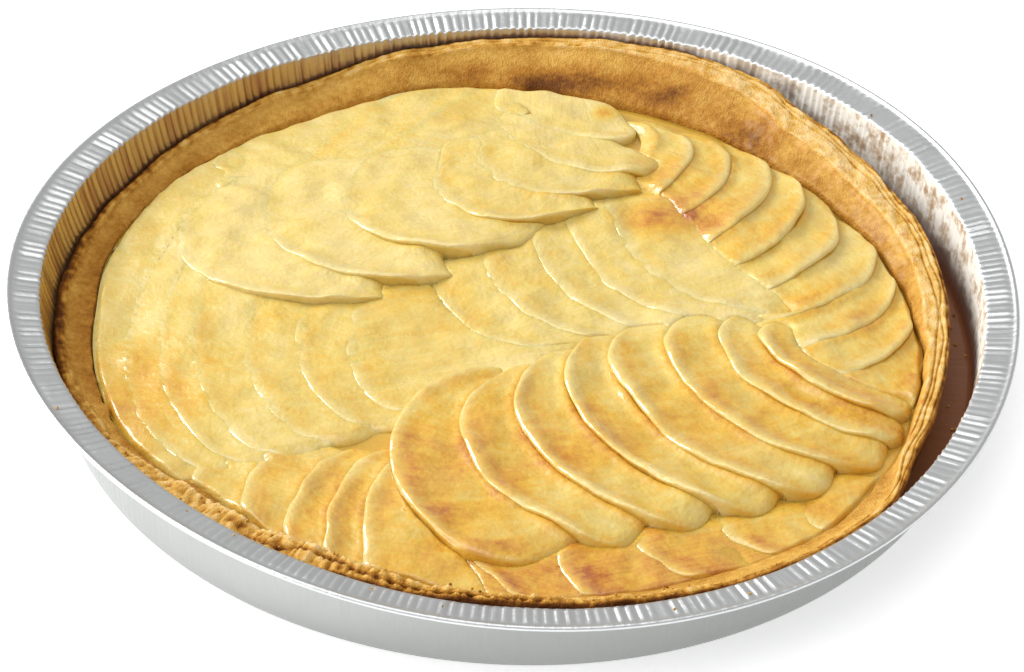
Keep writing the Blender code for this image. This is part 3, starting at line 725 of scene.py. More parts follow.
def jelly_material(sizes):
    made, tree, shader, position = new_material("apple_jelly")
    cloudy = mottle(tree, position, 120.0, 1.0)
    colour = mix_colours(tree, plus(tree, cloudy, 0.4, clamp=True), sizes.jelly_deep[:], sizes.jelly[:])
    tree.links.new(colour, shader.inputs["Base Color"])
    set_inputs(shader, {"Roughness": 0.25, "Coat Weight": 0.4, "Coat Roughness": 0.18, "Subsurface Weight": 0.5,
                        "Subsurface Radius": (1.0, 0.6, 0.1), "Subsurface Scale": 0.003})
    relief = grain(tree, position, 200.0, 600.0)
    bump(tree, shader, relief, 0.3, 0.0008)
    return made


def floor_material(colour):
    made, tree, shader, position = new_material("pale_floor")
    soft = mottle(tree, position, 3.0, 0.05)
    paler = mix_colours(tree, plus(tree, soft, 0.5, clamp=True), colour[:], (1.0, 1.0, 1.0))
    tree.links.new(paler, shader.inputs["Base Color"])
    set_inputs(shader, {"Roughness": 0.9, "Specular IOR Level": 0.1, "Emission Color": (1.0, 1.0, 1.0, 1.0),
                        "Emission Strength": 0.42})
    return made


# Sizes and colours a user may change

def paint(name, description, default):
    return bpy.props.FloatVectorProperty(name=name, description=description, subtype="COLOR", default=default,
                                         min=0.0, max=1.0)


def in_metres(name, description, default):
    return bpy.props.FloatProperty(name=name, description=description, default=default, unit="LENGTH", precision=5)


def factor(name, description, default):
    return bpy.props.FloatProperty(name=name, description=description, default=default, min=0.0, max=1.0,
                                   subtype="FACTOR")


def watts(name, description, default):
    return bpy.props.FloatProperty(name=name, description=description, default=default, unit="POWER")


class TartTin(bpy.types.PropertyGroup):
    flutes: bpy.props.IntProperty(name="Flutes", description="Pleats pressed round the wall and flange", default=330)
    flute_depth: in_metres("Flute depth", "How deep the wall's pleats are", 0.00028)
    crimp_depth: in_metres("Crimp depth", "How deep the flange's pleats are", 0.0003)
    foil_colour: paint("Foil", "Bare foil", (0.66, 0.67, 0.67))
    # Gold tint on the inner wall that is partly a painted reflection of the crust
    stain_and_reflection_colour: paint("Stained foil", "Foil where fat has baked on", srgb(196, 164, 104))
    # Darker outer side: partly duller foil, partly painted shade
    outside_colour: paint("Outer side", "The foil's duller outer side", (0.42, 0.43, 0.42))
    # Dark brown that is partly painted shade at the bottom of the gap beside the crust
    burnt_and_shade_colour: paint("Burnt juice", "What has burnt on beside the crust", srgb(150, 88, 44))
    foil_roughness: factor("Roughness", "Roughness of the bare foil", 0.4)


class TartCrust(bpy.types.PropertyGroup):
    relief: in_metres("Relief", "Height of the crust's lumps", 0.0009)
    pale: paint("Pale", "Least baked pastry", srgb(230, 196, 134))
    tan: paint("Tan", "Lightly baked pastry", srgb(212, 164, 76))
    brown: paint("Brown", "Well baked pastry", srgb(172, 116, 36))
    dark: paint("Dark", "Dark edges and folds", srgb(118, 68, 8))
    scorched: paint("Scorched", "Darkest pastry", srgb(78, 38, 2))
    blister: paint("Blisters", "Red-brown blisters in the glaze", srgb(196, 98, 34))
    crumbs: bpy.props.IntProperty(name="Crumbs", description="Crumbs on the crust and in the gap beside it",
                                  default=90, min=0)
    crumb_size: in_metres("Crumb size", "Size of a middling crumb", 0.0008)


class TartApple(bpy.types.PropertyGroup):
    edge_round: in_metres("Edge rounding", "Radius of a slice's rounded edge", 0.0011)
    cream: paint("Cream", "Palest apple", srgb(227, 206, 138))
    yellow: paint("Yellow", "Plain baked apple", srgb(218, 190, 100))
    gold: paint("Gold", "Golden apple", srgb(217, 171, 58))
    brown: paint("Brown", "Browned apple", srgb(202, 142, 44))
    scorched: paint("Scorched", "Darkest spots", srgb(168, 88, 24))
    jelly: paint("Jelly", "Thin clear jelly", srgb(220, 182, 80))
    jelly_deep: paint("Deep jelly", "Jelly where it is deep", srgb(190, 144, 44))
    roughness: factor("Roughness", "Roughness of the apple under its glaze", 0.42)
    glaze: factor("Glaze", "How much clear glaze covers the apple", 0.35)


class TartStage(bpy.types.PropertyGroup):
    floor_colour: paint("Floor", "Colour of the table", (0.95, 0.95, 0.95))
    key_power: watts("Key light", "Power of the window light at the back left", 60.0)
    top_power: watts("Top light", "Power of the large light overhead", 8.0)
    side_power: watts("Side light", "Power of the low panel at the left", 9.0)
    sky: bpy.props.FloatProperty(name="Room light", description="Strength of the light from all round", default=0.55)


# Pieces

def ring_grid(columns, rows):
    """A grid that will be closed round the middle: its angle and row for each vertex."""
    work, column, row = grid(columns, rows)
    return work, 2 * np.pi * (column % columns) / columns, row


def tin_section():
    """Rows of the tin from the middle of its underside over the bead to the middle inside.

    Each is (radius, height, share of the wall's flutes, share of the flange's crimps)."""
    wall_top, flange = RIM_RADIUS - FLANGE_WIDTH, TIN_HEIGHT - FLANGE_DROP
    rows = [(0.0, 0.0, 0, 0), (60.0, 0.0, 0, 0), (110.0, 0.0, 0, 0), (FOOT_RADIUS + FOIL - FOOT_FILLET, 0.0, 0, 0),
            (FOOT_RADIUS + FOIL - 0.3 * FOOT_FILLET, 0.3 * FOOT_FILLET, 0, 0)]
    for share in np.linspace(0.0, 1.0, 8):
        rows.append((FOOT_RADIUS + FOIL + (wall_top - FOOT_RADIUS) * share,
                     FOOT_FILLET + (flange - 2 * FOIL - FOOT_FILLET) * share, 0.3 * math.sin(math.pi * share), 0))
    inner, outer = (wall_top + 2 * FOIL, flange - FOIL), (RIM_RADIUS - BEAD, TIN_HEIGHT - BEAD - 0.4)
    for share in np.linspace(0.0, 1.0, 5):
        rows.append((inner[0] + (outer[0] - inner[0]) * share, inner[1] + (outer[1] - inner[1]) * share, 0, 1 - share))
    for turn in np.radians(np.linspace(-90.0, 160.0, 9)):
        rows.append((RIM_RADIUS - BEAD / 2 + BEAD / 2 * math.cos(turn),
                     TIN_HEIGHT - BEAD / 2 + BEAD / 2 * math.sin(turn), 0, 0))
    outer, inner = (RIM_RADIUS - BEAD - 0.5, TIN_HEIGHT - 0.75), (wall_top + FOIL, flange)
    for share, crimp in zip(np.linspace(0.0, 1.0, 9), (0.15, 0.7, 1, 1, 1, 1, 1, 1, 0.9)):
        rows.append((outer[0] + (inner[0] - outer[0]) * share, outer[1] + (inner[1] - outer[1]) * share, 0, crimp))
    rows.append((wall_top + 0.15, flange - 0.2, 0.5, 0.6))
    for share in np.linspace(0.0, 1.0, 12):
        rows.append((wall_top + (FOOT_RADIUS - wall_top) * share,
                     flange - FOIL + (FOOT_FILLET + 2 * FOIL - flange) * share, min(1.0, 3 * (1 - share) + 0.2), 0))
    rows += [(FOOT_RADIUS - 0.3 * FOOT_FILLET, FOIL + 0.3 * FOOT_FILLET, 0, 0),
             (FOOT_RADIUS - FOOT_FILLET, FOIL, 0, 0), (110.0, FOIL, 0, 0), (60.0, FOIL, 0, 0), (0.0, FOIL, 0, 0)]
    return np.array(rows, float)


class TART_OT_press_tin(bpy.types.Operator):
    """Press the foil tin, with its fluted wall, crimped flange and rolled edge"""
    bl_idname = "tart.press_tin"
    bl_label = "Press the tin"

    def execute(self, context):
        sizes = context.scene.tart_tin
        section = tin_section()
        columns = sizes.flutes * COLUMNS_PER_FLUTE
        work, angle, row = ring_grid(columns, len(section) - 1)
        radius, z, flute, crimp = section[row].T
        steps = np.arange(columns) * 2 * np.pi / columns
        ring = np.stack([np.cos(steps), np.sin(steps), 0 * steps], -1) * RIM_RADIUS
        slide, uneven, dents = lumps(ring, 9.0, 3.0), lumps(ring, 5.0, 7.0), lumps(ring, 16.0, 11.0)
        pleat = np.sin(sizes.flutes * steps + 2.2 * slide)
        pleat = (pleat + 0.35 * np.sin(2 * (sizes.flutes * steps + 2.2 * slide) + 0.8)) * (0.75 + 1.1 * uneven)
        turn = np.rint(angle / (2 * np.pi) * columns).astype(int) % columns
        radius = pressed(radius, z, angle)
        crusted = around(RESIDUE, angle)
        radius = radius + flute * (sizes.flute_depth / MM) * pleat[turn] * (1 - 0.6 * crusted)
        z = z + crimp * ((sizes.crimp_depth / MM) * pleat[turn] + 0.5 * dents[turn])
        radius = np.where((flute == 0) & (crimp == 0), radius, np.minimum(radius, pressed(RIM_RADIUS - 0.1, z, angle)))
        points = np.stack([radius * np.cos(angle), radius * np.sin(angle), z], -1)
        radius = radius - 0.5 * flute * crusted * np.clip(lumps(points, 3.0, 60.0) + 0.2, 0.0, 1.0)
        points = np.stack([radius * np.cos(angle), radius * np.sin(angle), z], -1)
        inside = (row >= len(section) - INSIDE_ROWS) & (section[row][:, 0] > 100)
        # The gold tint on the inner wall is baked-on butter and partly a painted reflection of the crust
        masks = {"stain_and_reflection": np.where(inside, around(STAIN_AND_REFLECTION, angle), 0.0),
                 "residue": np.where(inside, crusted * smooth((z - 5.0) / 8.0), 0.0),
                 "outside": np.where((row > OUTSIDE_ROWS[0]) & (row < OUTSIDE_ROWS[1]), 1.0, 0.0),
                 # Dark brown low on the inside: scorched juice, and partly painted shade at the bottom of the gap
                 "burnt_and_shade": np.where(row >= len(section) - INSIDE_ROWS,
                                   0.95 * (1 - smooth((z - 2.0) / around(BURNT_AND_SHADE_HEIGHT, angle))), 0.0)}
        mesh = mesh_from(work, "foil_tin_dressed", points, masks)
        place("foil_tin_dressed", mesh, foil_material(sizes), "foil", "foil_tin")
        return {"FINISHED"}


def crust_sections(angle):
    """Corner points of the crust's section at each angle, as in the solids."""
    off = (np.degrees(angle) - NOTCH_ANGLE) / NOTCH_WIDTH
    wavy = np.sin(11 * angle) + 0.7 * np.sin(23 * angle + 1.0) + 0.5 * np.cos(37 * angle)
    top = around(CRUST_TOP, angle) + LUMP_HEIGHT * wavy / 2 - NOTCH_DEPTH * np.exp(-off * off)
    gap, lip = around(WALL_GAP, angle), around(LIP_WIDTH, angle)
    outside = wall_radius(top, angle) - gap
    foot = wall_radius(FOOT_FILLET, angle) - gap - FOOT_FILLET
    apple = around(APPLE_EDGE, angle) + GAP
    middle = np.maximum(apple, outside - lip - 1.5)
    inside = np.maximum(apple + 0.4, outside - lip)
    low, inner_foot = FOIL + GAP, CRUST_FLOOR + FOIL + GAP
    flat = np.ones_like(angle)
    corners = [(0 * flat, low * flat), (foot - 2.0, low * flat), (foot, (low + 1.6) * flat),
               (outside, top - CRUST_TOP_ROUND), (outside - CRUST_TOP_ROUND, top), (inside + 1.0, top - 0.4),
               (np.minimum(inside, middle + 2.0), top - 2.0),
               (apple, np.minimum(top - 3.0, SURFACE_LEVEL - around(EDGE_DROP, angle))),
               (apple, inner_foot * flat), (0 * flat, inner_foot * flat)]
    return corners


def crust_rows(steps):
    """Radius and height of every row of the crust at each angle, and the rows of its corners."""
    corners = crust_sections(steps)
    rows = []
    for first, second, count in zip(corners, corners[1:], CRUST_ROWS):
        rows += [(first[0] + (second[0] - first[0]) * k / count, first[1] + (second[1] - first[1]) * k / count)
                 for k in range(count)]
    rows.append(corners[-1])
    radius, z = (np.array([item[which] for item in rows]) for which in (0, 1))
    marks = np.concatenate([[0], np.cumsum(CRUST_ROWS)])
    for _ in range(SOFTENED):
        for values in (radius, z):
            values[marks[2]:marks[8]] = (values[marks[2] - 1:marks[8] - 1] + 2 * values[marks[2]:marks[8]]
                                         + values[marks[2] + 1:marks[8] + 1]) / 4
    return radius, z, marks


class TART_OT_bake_crust(bpy.types.Operator):
    """Bake the pastry crust, with its lumps, layers, fork marks, baked colour and painted light and shade"""
    bl_idname = "tart.bake_crust"
    bl_label = "Bake the crust"

    def execute(self, context):
        sizes = context.scene.tart_crust
        steps = np.arange(CRUST_COLUMNS) * 2 * np.pi / CRUST_COLUMNS
        radius, z, marks = crust_rows(steps)
        work, angle, row = ring_grid(CRUST_COLUMNS, len(radius) - 1)
        turn = np.rint(angle / (2 * np.pi) * CRUST_COLUMNS).astype(int) % CRUST_COLUMNS
        r, h = radius[row, turn], z[row, turn]
        points = np.stack([r * np.cos(angle), r * np.sin(angle), h], -1)
        shows = smooth((row - marks[2] - 3) / 5.0) * (1 - smooth((row - marks[7] + 1) / 3.0))
        lip = smooth((row - marks[3]) / 3.0) * (1 - smooth((row - marks[5]) / 4.0))
        face = smooth((row - marks[5] + 2) / 4.0) * (1 - smooth((row - marks[7] + 1) / 3.0))
        height = around(CRUST_LUMPS, angle) * sizes.relief / MM * 1.6
        big, small = lumps(points, 7.0, 2.0), lumps(points, 2.3, 5.0)
        tiny = lumps(points, 1.1, 9.0)
        along = np.degrees(angle) * 2.2
        fork = np.sin(2 * np.pi * (along / 2.7 + 1.1 * lumps(points, 6.0, 21.0))) * around(FORK_MARKS, angle)
        from_edge = radius[marks[3]][turn] - r
        grooves = sum(np.exp(-((from_edge - at - 0.9 * lumps(points, 12.0, 30.0 + at)) / GROOVE_WIDTH) ** 2)
                      for at in GROOVES_AT) * around(LAYERS, angle) * lip
        share = from_edge / np.maximum(radius[marks[3]][turn] - radius[marks[5]][turn], 1.0)
        fold = np.exp(-((share - 0.55 - 0.3 * lumps(points, 9.0, 40.0)) / 0.09) ** 2) * around(FOLD_LINE, angle)
        rise = shows * height * (big + 0.5 * small + 0.25 * tiny)
        rise = rise + lip * 0.38 * fork - 0.55 * grooves - 1.2 * fold * lip
        h = np.minimum(h + rise * (0.35 + 0.65 * lip), CRUST_LIMIT)
        r = r + shows * height * 0.8 * lumps(points, 5.0, 14.0) * np.where(face > 0.3, 1.0, 0.35) * (1 - lip) \
            - shows * (row < marks[4]) * np.abs(rise) * 0.3
        wall = wall_radius(h, angle) - 0.25
        r = np.minimum(r, np.maximum(wall - 0.05, 1.0))
        points = np.stack([r * np.cos(angle), r * np.sin(angle), h], -1)
        # Painted shade in spots at the foot of the inner face
        foot_shade = sum(much * np.exp(-(((points[:, 0] - x) / wide) ** 2 + ((points[:, 1] - y) / deep) ** 2))
                     for x, y, wide, deep, much in FOOT_SHADE_SPOTS)
        # The outer face beside the tin is dark: baked darker, and partly painted shade in the narrow gap
        bake_and_shade = np.where(row < marks[3], 0.9, lip * around(BAKE_LIP, angle) + (1 - lip) * around(BAKE_INSIDE, angle))
        # Darker low down the inner face towards the apple: painted shade
        low = smooth((row - marks[6]) / 14.0) * (row <= marks[7])
        # Darker in the layer grooves, the fold and the troughs of the fork marks, paler on the fork ridges: painted
        # light and shade
        bake_and_shade = bake_and_shade + 0.3 * grooves + 0.45 * fold * lip - 0.2 * fork * lip + foot_shade * face + 0.12 * low
        # Dark line along the outer top edge: scorched, and partly painted shadow between crust and tin
        scorch_and_shade = 0.4 * np.exp(-(from_edge / around(EDGE_SCORCH_AND_SHADE, angle)) ** 2) * (row >= marks[3])
        # Paler where the small lumps rise on the lip and darker between them: painted light and shade
        bake_and_shade = bake_and_shade - 0.35 * small * lip + scorch_and_shade
        front = around(FORK_MARKS, angle)
        outer_face = (row >= marks[2]) * (1 - smooth((row - marks[3]) / 4.0))
        bake_and_shade = bake_and_shade + front * (0.2 * outer_face - 0.3 * np.exp(-((row - marks[5] + 1) / 3.0) ** 2))
        right = around(GLAZED, angle)
        upper = np.exp(-((row - marks[5] + 1) / 8.0) ** 2)
        bake_and_shade = bake_and_shade - 0.16 * right * lip * smooth((row - marks[4]) / 4.0)
        masks = {"bake_and_shade": np.clip(bake_and_shade, 0.0, 1.0), "glazed": np.clip(face * right, 0.0, 1.0),
                 "blistered": np.clip(upper * right, 0.0, 1.0)}
        mesh = mesh_from(work, "pastry_crust_dressed", points, masks)
        place("pastry_crust_dressed", mesh, pastry_material(sizes), "pastry", "pastry_crust")
        return {"FINISHED"}


class TART_OT_pour_jelly(bpy.types.Operator):
    """Pour the clear jelly that fills the pockets between the slices"""
    bl_idname = "tart.pour_jelly"
    bl_label = "Pour the jelly"

    def execute(self, context):
        sizes = context.scene.tart_apple
        material = jelly_material(sizes)
        columns, rows = 240, 70
        work, angle, row = ring_grid(columns, rows)
        share = np.minimum(row / (rows - 2.0), 1.0)
        radius = (around(APPLE_EDGE, angle) + 0.25) * share
        points = np.stack([radius * np.cos(angle), radius * np.sin(angle), 0 * radius], -1)
        rim = smooth((share - 0.965) / 0.035)
        level = surface_level(points[:, 0], points[:, 1]) - 2.0 + 0.6 * lumps(points, 14.0, 50.0) + 0.3 * rim
        points[:, 2] = np.where(row == 0, 14.0, level)
        points[:, 2] = np.where(row == rows - 1, FILLING_TOP + GAP, points[:, 2])
        points = np.where((row == rows)[:, None], np.array([0.0, 0.0, FILLING_TOP + GAP]), points)
        mesh = mesh_from(work, "apple_jelly", points)
        place("apple_jelly", mesh, material, "filling")
        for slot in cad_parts["apple_filling"].material_slots:
            slot.material = material
        return {"FINISHED"}


def lip_rows(wide, deep, wall):
    """Set-backs and drops over a rounded edge, from the foot of its wall up to its top."""
    turns = np.radians(LIP_ANGLES)
    back = np.concatenate([[0.45, 0.15], wide * (1 - np.cos(turns))])
    drop = np.concatenate([[deep + wall, deep + 0.4 * wall], deep * (1 - np.sin(turns))])
    return back, drop


def slice_points(fan, number, rounding, seed):
    """Grid points of one slice in millimetres, and its masks."""
    closing = number == max(fan["edges"]) - 1
    wide, deep = LIP_WIDE * rounding, LIP_DEEP * rounding
    back, drop = lip_rows(wide, deep, 1.0)
    end_back, end_drop = lip_rows(wide, 1.3 * deep, 3.0)
    count = len(back)
    rows = ALONG_STEPS + 2 * count
    columns = ACROSS_STEPS + count * (2 if closing else 1)
    work, column, row = grid(columns - 1, rows - 1)
    length = slice_length(fan, number)
    lip = end_back[-1] / length
    main = np.linspace(lip, 1 - lip, ALONG_STEPS + 2)[1:-1]
    along_of = np.concatenate([end_back / length, main, 1 - end_back[::-1] / length])
    along_drop = np.concatenate([end_drop, np.zeros(ALONG_STEPS), end_drop[::-1]])
    along, ends = along_of[row], along_drop[row]
    width = np.linalg.norm(fan_edge(fan, np.full_like(along, number + 1.0), along)
                           - fan_edge(fan, np.full_like(along, float(number)), along), axis=-1)
    width = np.maximum(width, 3.0)
    start = np.minimum(wide / width, 0.3)
    stop = 1 - start if closing else np.full_like(start, UNDER_NEXT)
    middle = np.clip((column - count + 1) / (ACROSS_STEPS + (1 if closing else 0)), 0.0, 1.0)
    across = start + (stop - start) * middle
    scale = start / wide
    near = column < count
    across = np.where(near, back[np.minimum(column, count - 1)] * scale, across)
    falls = np.where(near, drop[np.minimum(column, count - 1)], 0.0)
    if closing:
        far = columns - 1 - column
        beyond = far < count
        across = np.where(beyond, 1 - back[np.minimum(far, count - 1)] * scale, across)
        across = across * (1 + fan.get("closing_over", 0.0) * np.clip(across, 0, 1))
        falls = np.where(beyond, drop[np.minimum(far, count - 1)], falls)
    away = across * width
    sway = np.array([noise.noise(Vector((seed * 3.1, share * 4.0, 0.0))) for share in along_of])[row]
    sway = sway * 1.4 / width * np.clip(1 - across, 0, 1) * smooth(np.minimum(along, 1 - along) / 0.15)
    plan = slice_plan(fan, number, across + sway, bent_along(fan, number, across, along))
    flat = np.concatenate([plan, np.zeros((len(plan), 1))], -1)
    apart = 1.0 - merged(plan[:, 0], plan[:, 1])
    shows = np.interp(along, (0.0, 0.25, 0.5, 0.75, 1.0), fan["edge_shows"])
    shows = np.clip(shows * apart * (1.0 + 0.25 * math.sin(5.1 * seed) + 0.5 * lumps(flat, 16.0, seed)), 0.0, 1.0)
    step = fan["step"] * shows
    slope = (1 - across) - 0.35 * across * (1 - across) * (across < 1)
    level = surface_level(plan[:, 0], plan[:, 1]) + fan["lift"] * apart + step * slope
    level = level + 1.0 * lumps(flat, 26.0, 0.4) + 0.8 * lumps(flat, 10.0, 3.3)
    level = level + (0.4 + 0.5 * (1 - apart)) * lumps(flat * (0.75, 1.25, 1.0), 5.5, 8.1)
    level = level + apart * (0.3 * lumps(flat, 6.0, 1.3 * seed) + 0.16 * lumps(flat, 2.6, seed))
    to_end = np.minimum(along, 1 - along) * length
    level = level - END_DROOP * apart * (1 - smooth(to_end / 9.0))
    curl = CREST * shows * np.exp(-(away / 3.2) ** 2)
    pooled = 0.0 if closing else 0.45 * step * np.exp(-((1 - across) * width / 2.0) ** 2)
    hidden = 0.0 if closing else 0.6 * smooth((across - 1.0 - (1 - shows) * start) / 0.12)
    share = np.where(falls > deep, 1.0, np.clip(0.1 + 0.9 * shows, 0.0, 1.0))
    end_share = np.where(ends > 1.3 * deep, 1.0, np.clip(0.1 + 0.9 * apart, 0.0, 1.0))
    z = level + curl + pooled - hidden - falls * share - ends * end_share
    # foot is where the next slice's edge meets this one, under is the wall below this slice's own edge: both darken
    # the apple as painted shade
    foot = 0.0 if closing else shows * np.exp(-((1 - across) * width / 1.6) ** 2)
    masks = {"under": np.clip((falls - deep * 0.5) / 1.2, 0, 1) * shows, "away": away, "to_end": to_end, "foot": foot,
             "apart": apart}
    return work, plan, z, masks, across, along


def browning_and_shade(x, y, fan, seed):
    """How far the apple has baked brown in plan, from 0 for cream to 1 for scorched."""
    total = np.full_like(x, fan["tone"] + 0.05 * math.sin(7.3 * seed))
    for at_x, at_y, wide, deep, more in BAKED_PLACES:
        total += more * np.exp(-(((x - at_x) / wide) ** 2 + ((y - at_y) / deep) ** 2))
    return total


class TART_OT_lay_fan(bpy.types.Operator):
    """Lay one fan of overlapping apple slices"""
    bl_idname = "tart.lay_fan"
    bl_label = "Lay a fan of slices"

    fan: bpy.props.EnumProperty(name="Fan", description="Which fan to lay",
                                items=[(name, name.replace("_", " ").capitalize(), "Fan of slices") for name in FANS])

    def execute(self, context):
        sizes = context.scene.tart_apple
        rounding = sizes.edge_round / MM
        fan = FANS[self.fan]
        names = list(FANS)
        over = [fan_border(FANS[name]) for name in names[names.index(self.fan) + 1:]]
        material = bpy.data.materials.get("glazed_apple") or apple_material(sizes)
        for number in range(max(fan["edges"])):
            node = f"slice_{self.fan}_{number + 1}"
            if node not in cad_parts:
                continue
            seed = number + 10.0 * names.index(self.fan)
            work, plan, z, masks, across, along = slice_points(fan, number, rounding, seed)
            reach = MERGE_REACH * (1 - masks["apart"])
            sunk = sum((smooth((depth_inside(plan, border) - reach) / SINK_RUN) for border in over), np.zeros_like(z))
            z = z - SINK * sunk
            angle, radius = np.arctan2(plan[:, 1], plan[:, 0]), np.hypot(plan[:, 0], plan[:, 1])
            limit = around(APPLE_EDGE, angle) - CRUST_START
            spread = fan.get("spread", 0.0)
            if spread:
                radius = radius + spread * smooth((radius - limit + 2.5 * spread) / (1.5 * spread))
            past = np.maximum(radius - limit, 0.0)
            squeezed = CRUST_PRESS * (1 - np.exp(-past / CRUST_PRESS))
            radius = np.where(radius > limit, limit + squeezed, radius)
            z = z - CRUST_DIP * (squeezed / CRUST_PRESS) ** 2
            x, y = radius * np.cos(angle), radius * np.sin(angle)
            z = np.maximum(z, FILLING_TOP + GAP + 0.1)
            # Browner on the wall under each edge and at each edge's foot on the slice below: painted shade and shadow,
            # where glaze also pools
            brown = browning_and_shade(x, y, fan, seed) + 0.22 * masks["under"] + 0.2 * masks["foot"]
            # A browner strip behind each edge, from its baking; the crest of each edge is paler, a painted highlight
            brown += fan["tone"] * (0.35 * np.exp(-((masks["away"] - 5.0) / 3.0) ** 2)
                                    - 0.6 * np.exp(-(masks["away"] / 2.2) ** 2))
            wet = np.exp(-((masks["away"] - 1.5) / 2.2) ** 2) * masks["apart"]
            wet = wet * smooth(masks["to_end"] / 9.0) * (1 - squeezed / CRUST_PRESS) - 2.0 * sunk
            piece = f"apple_{self.fan}_{number + 1}"
            mesh = mesh_from(work, piece, np.stack([x, y, z], -1),
                             {"browning_and_shade": np.clip(brown, 0.0, 1.0), "wet": wet}, (across, along))
            place(piece, mesh, material, "apple", node)
        return {"FINISHED"}


def crumb_places(count, middling, rng):
    """Angle, radius, height and size of each crumb, in radians and millimetres."""
    places = []
    inner, outer = RIM_RADIUS - FLANGE_WIDTH, RIM_RADIUS - BEAD
    for degrees, inward, size in FLANGE_CRUMBS:
        radius = outer - inward
        rise = TIN_HEIGHT - FLANGE_DROP + (radius - inner) / (outer - inner) * (FLANGE_DROP - BEAD / 2)
        angle = math.radians(degrees)
        places.append((angle, float(pressed(radius, TIN_HEIGHT, angle)), rise + size / 4, size))
    for number in range(count):
        size = middling * rng.uniform(0.5, 1.5)
        arc = GAP_ARC if number % 3 == 0 else CRUST_ARC
        angle = math.radians(rng.uniform(*arc))
        if arc is GAP_ARC:
            radius = wall_radius(2.0, angle) - rng.uniform(0.2, 0.8) * around(WALL_GAP, angle)
            places.append((angle, float(radius), FOIL + 0.4 * size, size))
        else:
            corners = crust_sections(np.array([angle]))
            edge, top = corners[4][0][0], corners[4][1][0]
            radius = edge - rng.uniform(0.1, 0.8) * around(LIP_WIDTH, angle)
            places.append((angle, float(radius), float(top) - 0.2 + 0.2 * size, size))
    return places


class TART_OT_scatter_crumbs(bpy.types.Operator):
    """Scatter crumbs on the flange, on the crust and in the gap beside it"""
    bl_idname = "tart.scatter_crumbs"
    bl_label = "Scatter crumbs"

    def execute(self, context):
        sizes = context.scene.tart_crust
        rng = np.random.default_rng(CRUMB_SEED)
        work = bmesh.new()
        layers = {key: work.verts.layers.float.new(key) for key in ("bake_and_shade", "glazed", "blistered")}
        for angle, radius, z, size in crumb_places(sizes.crumbs, sizes.crumb_size / MM, rng):
            verts = bmesh.ops.create_icosphere(work, subdivisions=1, radius=size * MM / 2)["verts"]
            shade = rng.uniform(0.25, 0.75)
            for vert in verts:
                vert.co *= rng.uniform(0.75, 1.2)
                vert[layers["bake_and_shade"]] = shade
            bmesh.ops.scale(work, vec=rng.uniform(0.6, 1.25, 3), verts=verts)
            spot = Vector((radius * math.cos(angle), radius * math.sin(angle), z)) - Vector(MIDDLE)
            bmesh.ops.rotate(work, matrix=Matrix.Rotation(angle + rng.uniform(0, 3), 3, "Z"), verts=verts)
            bmesh.ops.translate(work, vec=spot * MM, verts=verts)
        mesh = bpy.data.meshes.new("crumbs")
        work.to_mesh(mesh)
        work.free()
        place("crumbs", mesh, bpy.data.materials.get("baked_pastry") or pastry_material(sizes), "pastry")
        return {"FINISHED"}


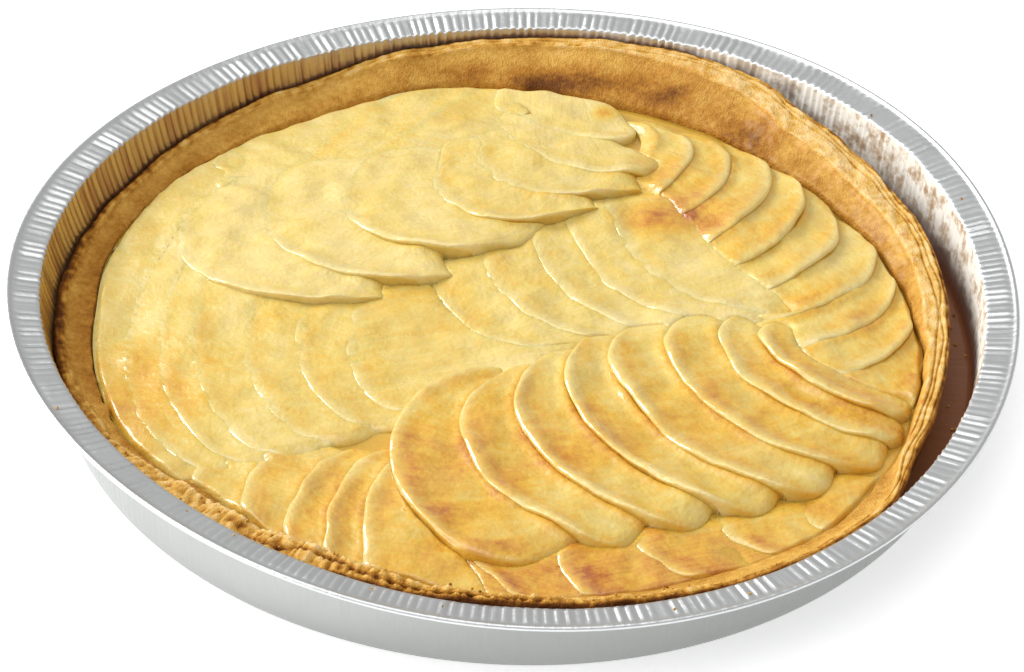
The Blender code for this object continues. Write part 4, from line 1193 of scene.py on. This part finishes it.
class TART_OT_set_stage(bpy.types.Operator):
    """Set the pale floor, the studio lights and the camera"""
    bl_idname = "tart.set_stage"
    bl_label = "Set the stage"

    def execute(self, context):
        sizes = context.scene.tart_stage
        scene = context.scene
        work = bmesh.new()
        bmesh.ops.create_grid(work, x_segments=8, y_segments=8, size=3.0)
        bmesh.ops.translate(work, vec=(0.0, 0.0, -0.0001), verts=work.verts)
        mesh = bpy.data.meshes.new("floor")
        work.to_mesh(mesh)
        work.free()
        mesh.materials.append(floor_material(sizes.floor_colour))
        floor = bpy.data.objects.new("floor", mesh)
        scene.collection.objects.link(floor)
        for name, spot, size, power in (("window", (-1.9, 1.12, 1.41), 1.3, sizes.key_power),
                                        ("side_panel", (-1.7, -0.5, 0.62), 0.8, sizes.side_power),
                                        ("overhead", (-0.25, -0.25, 1.5), 1.3, sizes.top_power)):
            lamp = bpy.data.lights.new(name, "AREA")
            lamp.shape, lamp.size, lamp.energy = "SQUARE", size, power
            light = bpy.data.objects.new(name, lamp)
            light.location = spot
            light.rotation_euler = (-Vector(spot)).to_track_quat("-Z", "Y").to_euler()
            scene.collection.objects.link(light)
        world = bpy.data.worlds.new("studio")
        world.use_nodes = True
        back = world.node_tree.nodes["Background"]
        back.inputs["Color"].default_value = (1.0, 1.0, 1.0, 1.0)
        back.inputs["Strength"].default_value = sizes.sky
        scene.world = world
        scene.view_settings.view_transform = "Standard"
        lens = bpy.data.cameras.new("camera")
        lens.sensor_fit, lens.sensor_width = "HORIZONTAL", SENSOR
        lens.lens = SENSOR * CAMERA_FOCAL_PIXELS / IMAGE_WIDTH
        lens.clip_end = 20.0
        camera = bpy.data.objects.new("camera", lens)
        rise = math.radians(CAMERA_ELEVATION)
        rim = Vector((-MIDDLE[0], -MIDDLE[1], TIN_HEIGHT)) * MM
        reach = CAMERA_DISTANCE * RIM_RADIUS * MM
        camera.location = rim + Vector((0.0, -reach * math.cos(rise), reach * math.sin(rise)))
        aim = rim + Vector((*CAMERA_AIM, 0.0)) * RIM_RADIUS * MM
        camera.rotation_euler = (aim - camera.location).to_track_quat("-Z", "Y").to_euler()
        scene.collection.objects.link(camera)
        scene.camera = camera
        return {"FINISHED"}


class TART_PT_sidebar(bpy.types.Panel):
    """Lists the tart's pieces in the order in which they are made"""
    bl_idname = "TART_PT_sidebar"
    bl_label = "Apple tart"
    bl_space_type = "VIEW_3D"
    bl_region_type = "UI"
    bl_category = "Tart"

    def draw(self, context):
        for group, name in ((context.scene.tart_tin, "Tin"), (context.scene.tart_crust, "Crust"),
                            (context.scene.tart_apple, "Apple"), (context.scene.tart_stage, "Stage")):
            box = self.layout.box()
            box.label(text=name)
            for key in group.bl_rna.properties.keys():
                if key not in ("rna_type", "name"):
                    box.prop(group, key)
        for kind in PIECES:
            self.layout.operator(kind.bl_idname)


GROUPS = (TartTin, TartCrust, TartApple, TartStage)
PIECES = (TART_OT_press_tin, TART_OT_bake_crust, TART_OT_pour_jelly, TART_OT_lay_fan, TART_OT_scatter_crumbs,
          TART_OT_set_stage)


def register():
    for kind in GROUPS + PIECES + (TART_PT_sidebar,):
        bpy.utils.register_class(kind)
    bpy.types.Scene.tart_tin = bpy.props.PointerProperty(type=TartTin)
    bpy.types.Scene.tart_crust = bpy.props.PointerProperty(type=TartCrust)
    bpy.types.Scene.tart_apple = bpy.props.PointerProperty(type=TartApple)
    bpy.types.Scene.tart_stage = bpy.props.PointerProperty(type=TartStage)


def unregister():
    for name in ("tart_stage", "tart_apple", "tart_crust", "tart_tin"):
        delattr(bpy.types.Scene, name)
    for kind in reversed(GROUPS + PIECES + (TART_PT_sidebar,)):
        bpy.utils.unregister_class(kind)


def main():
    register()
    bpy.ops.tart.press_tin()
    bpy.ops.tart.bake_crust()
    bpy.ops.tart.pour_jelly()
    for name in FANS:
        bpy.ops.tart.lay_fan(fan=name)
    bpy.ops.tart.scatter_crumbs()
    bpy.ops.tart.set_stage()
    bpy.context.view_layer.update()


if __name__ == "__main__":
    main()
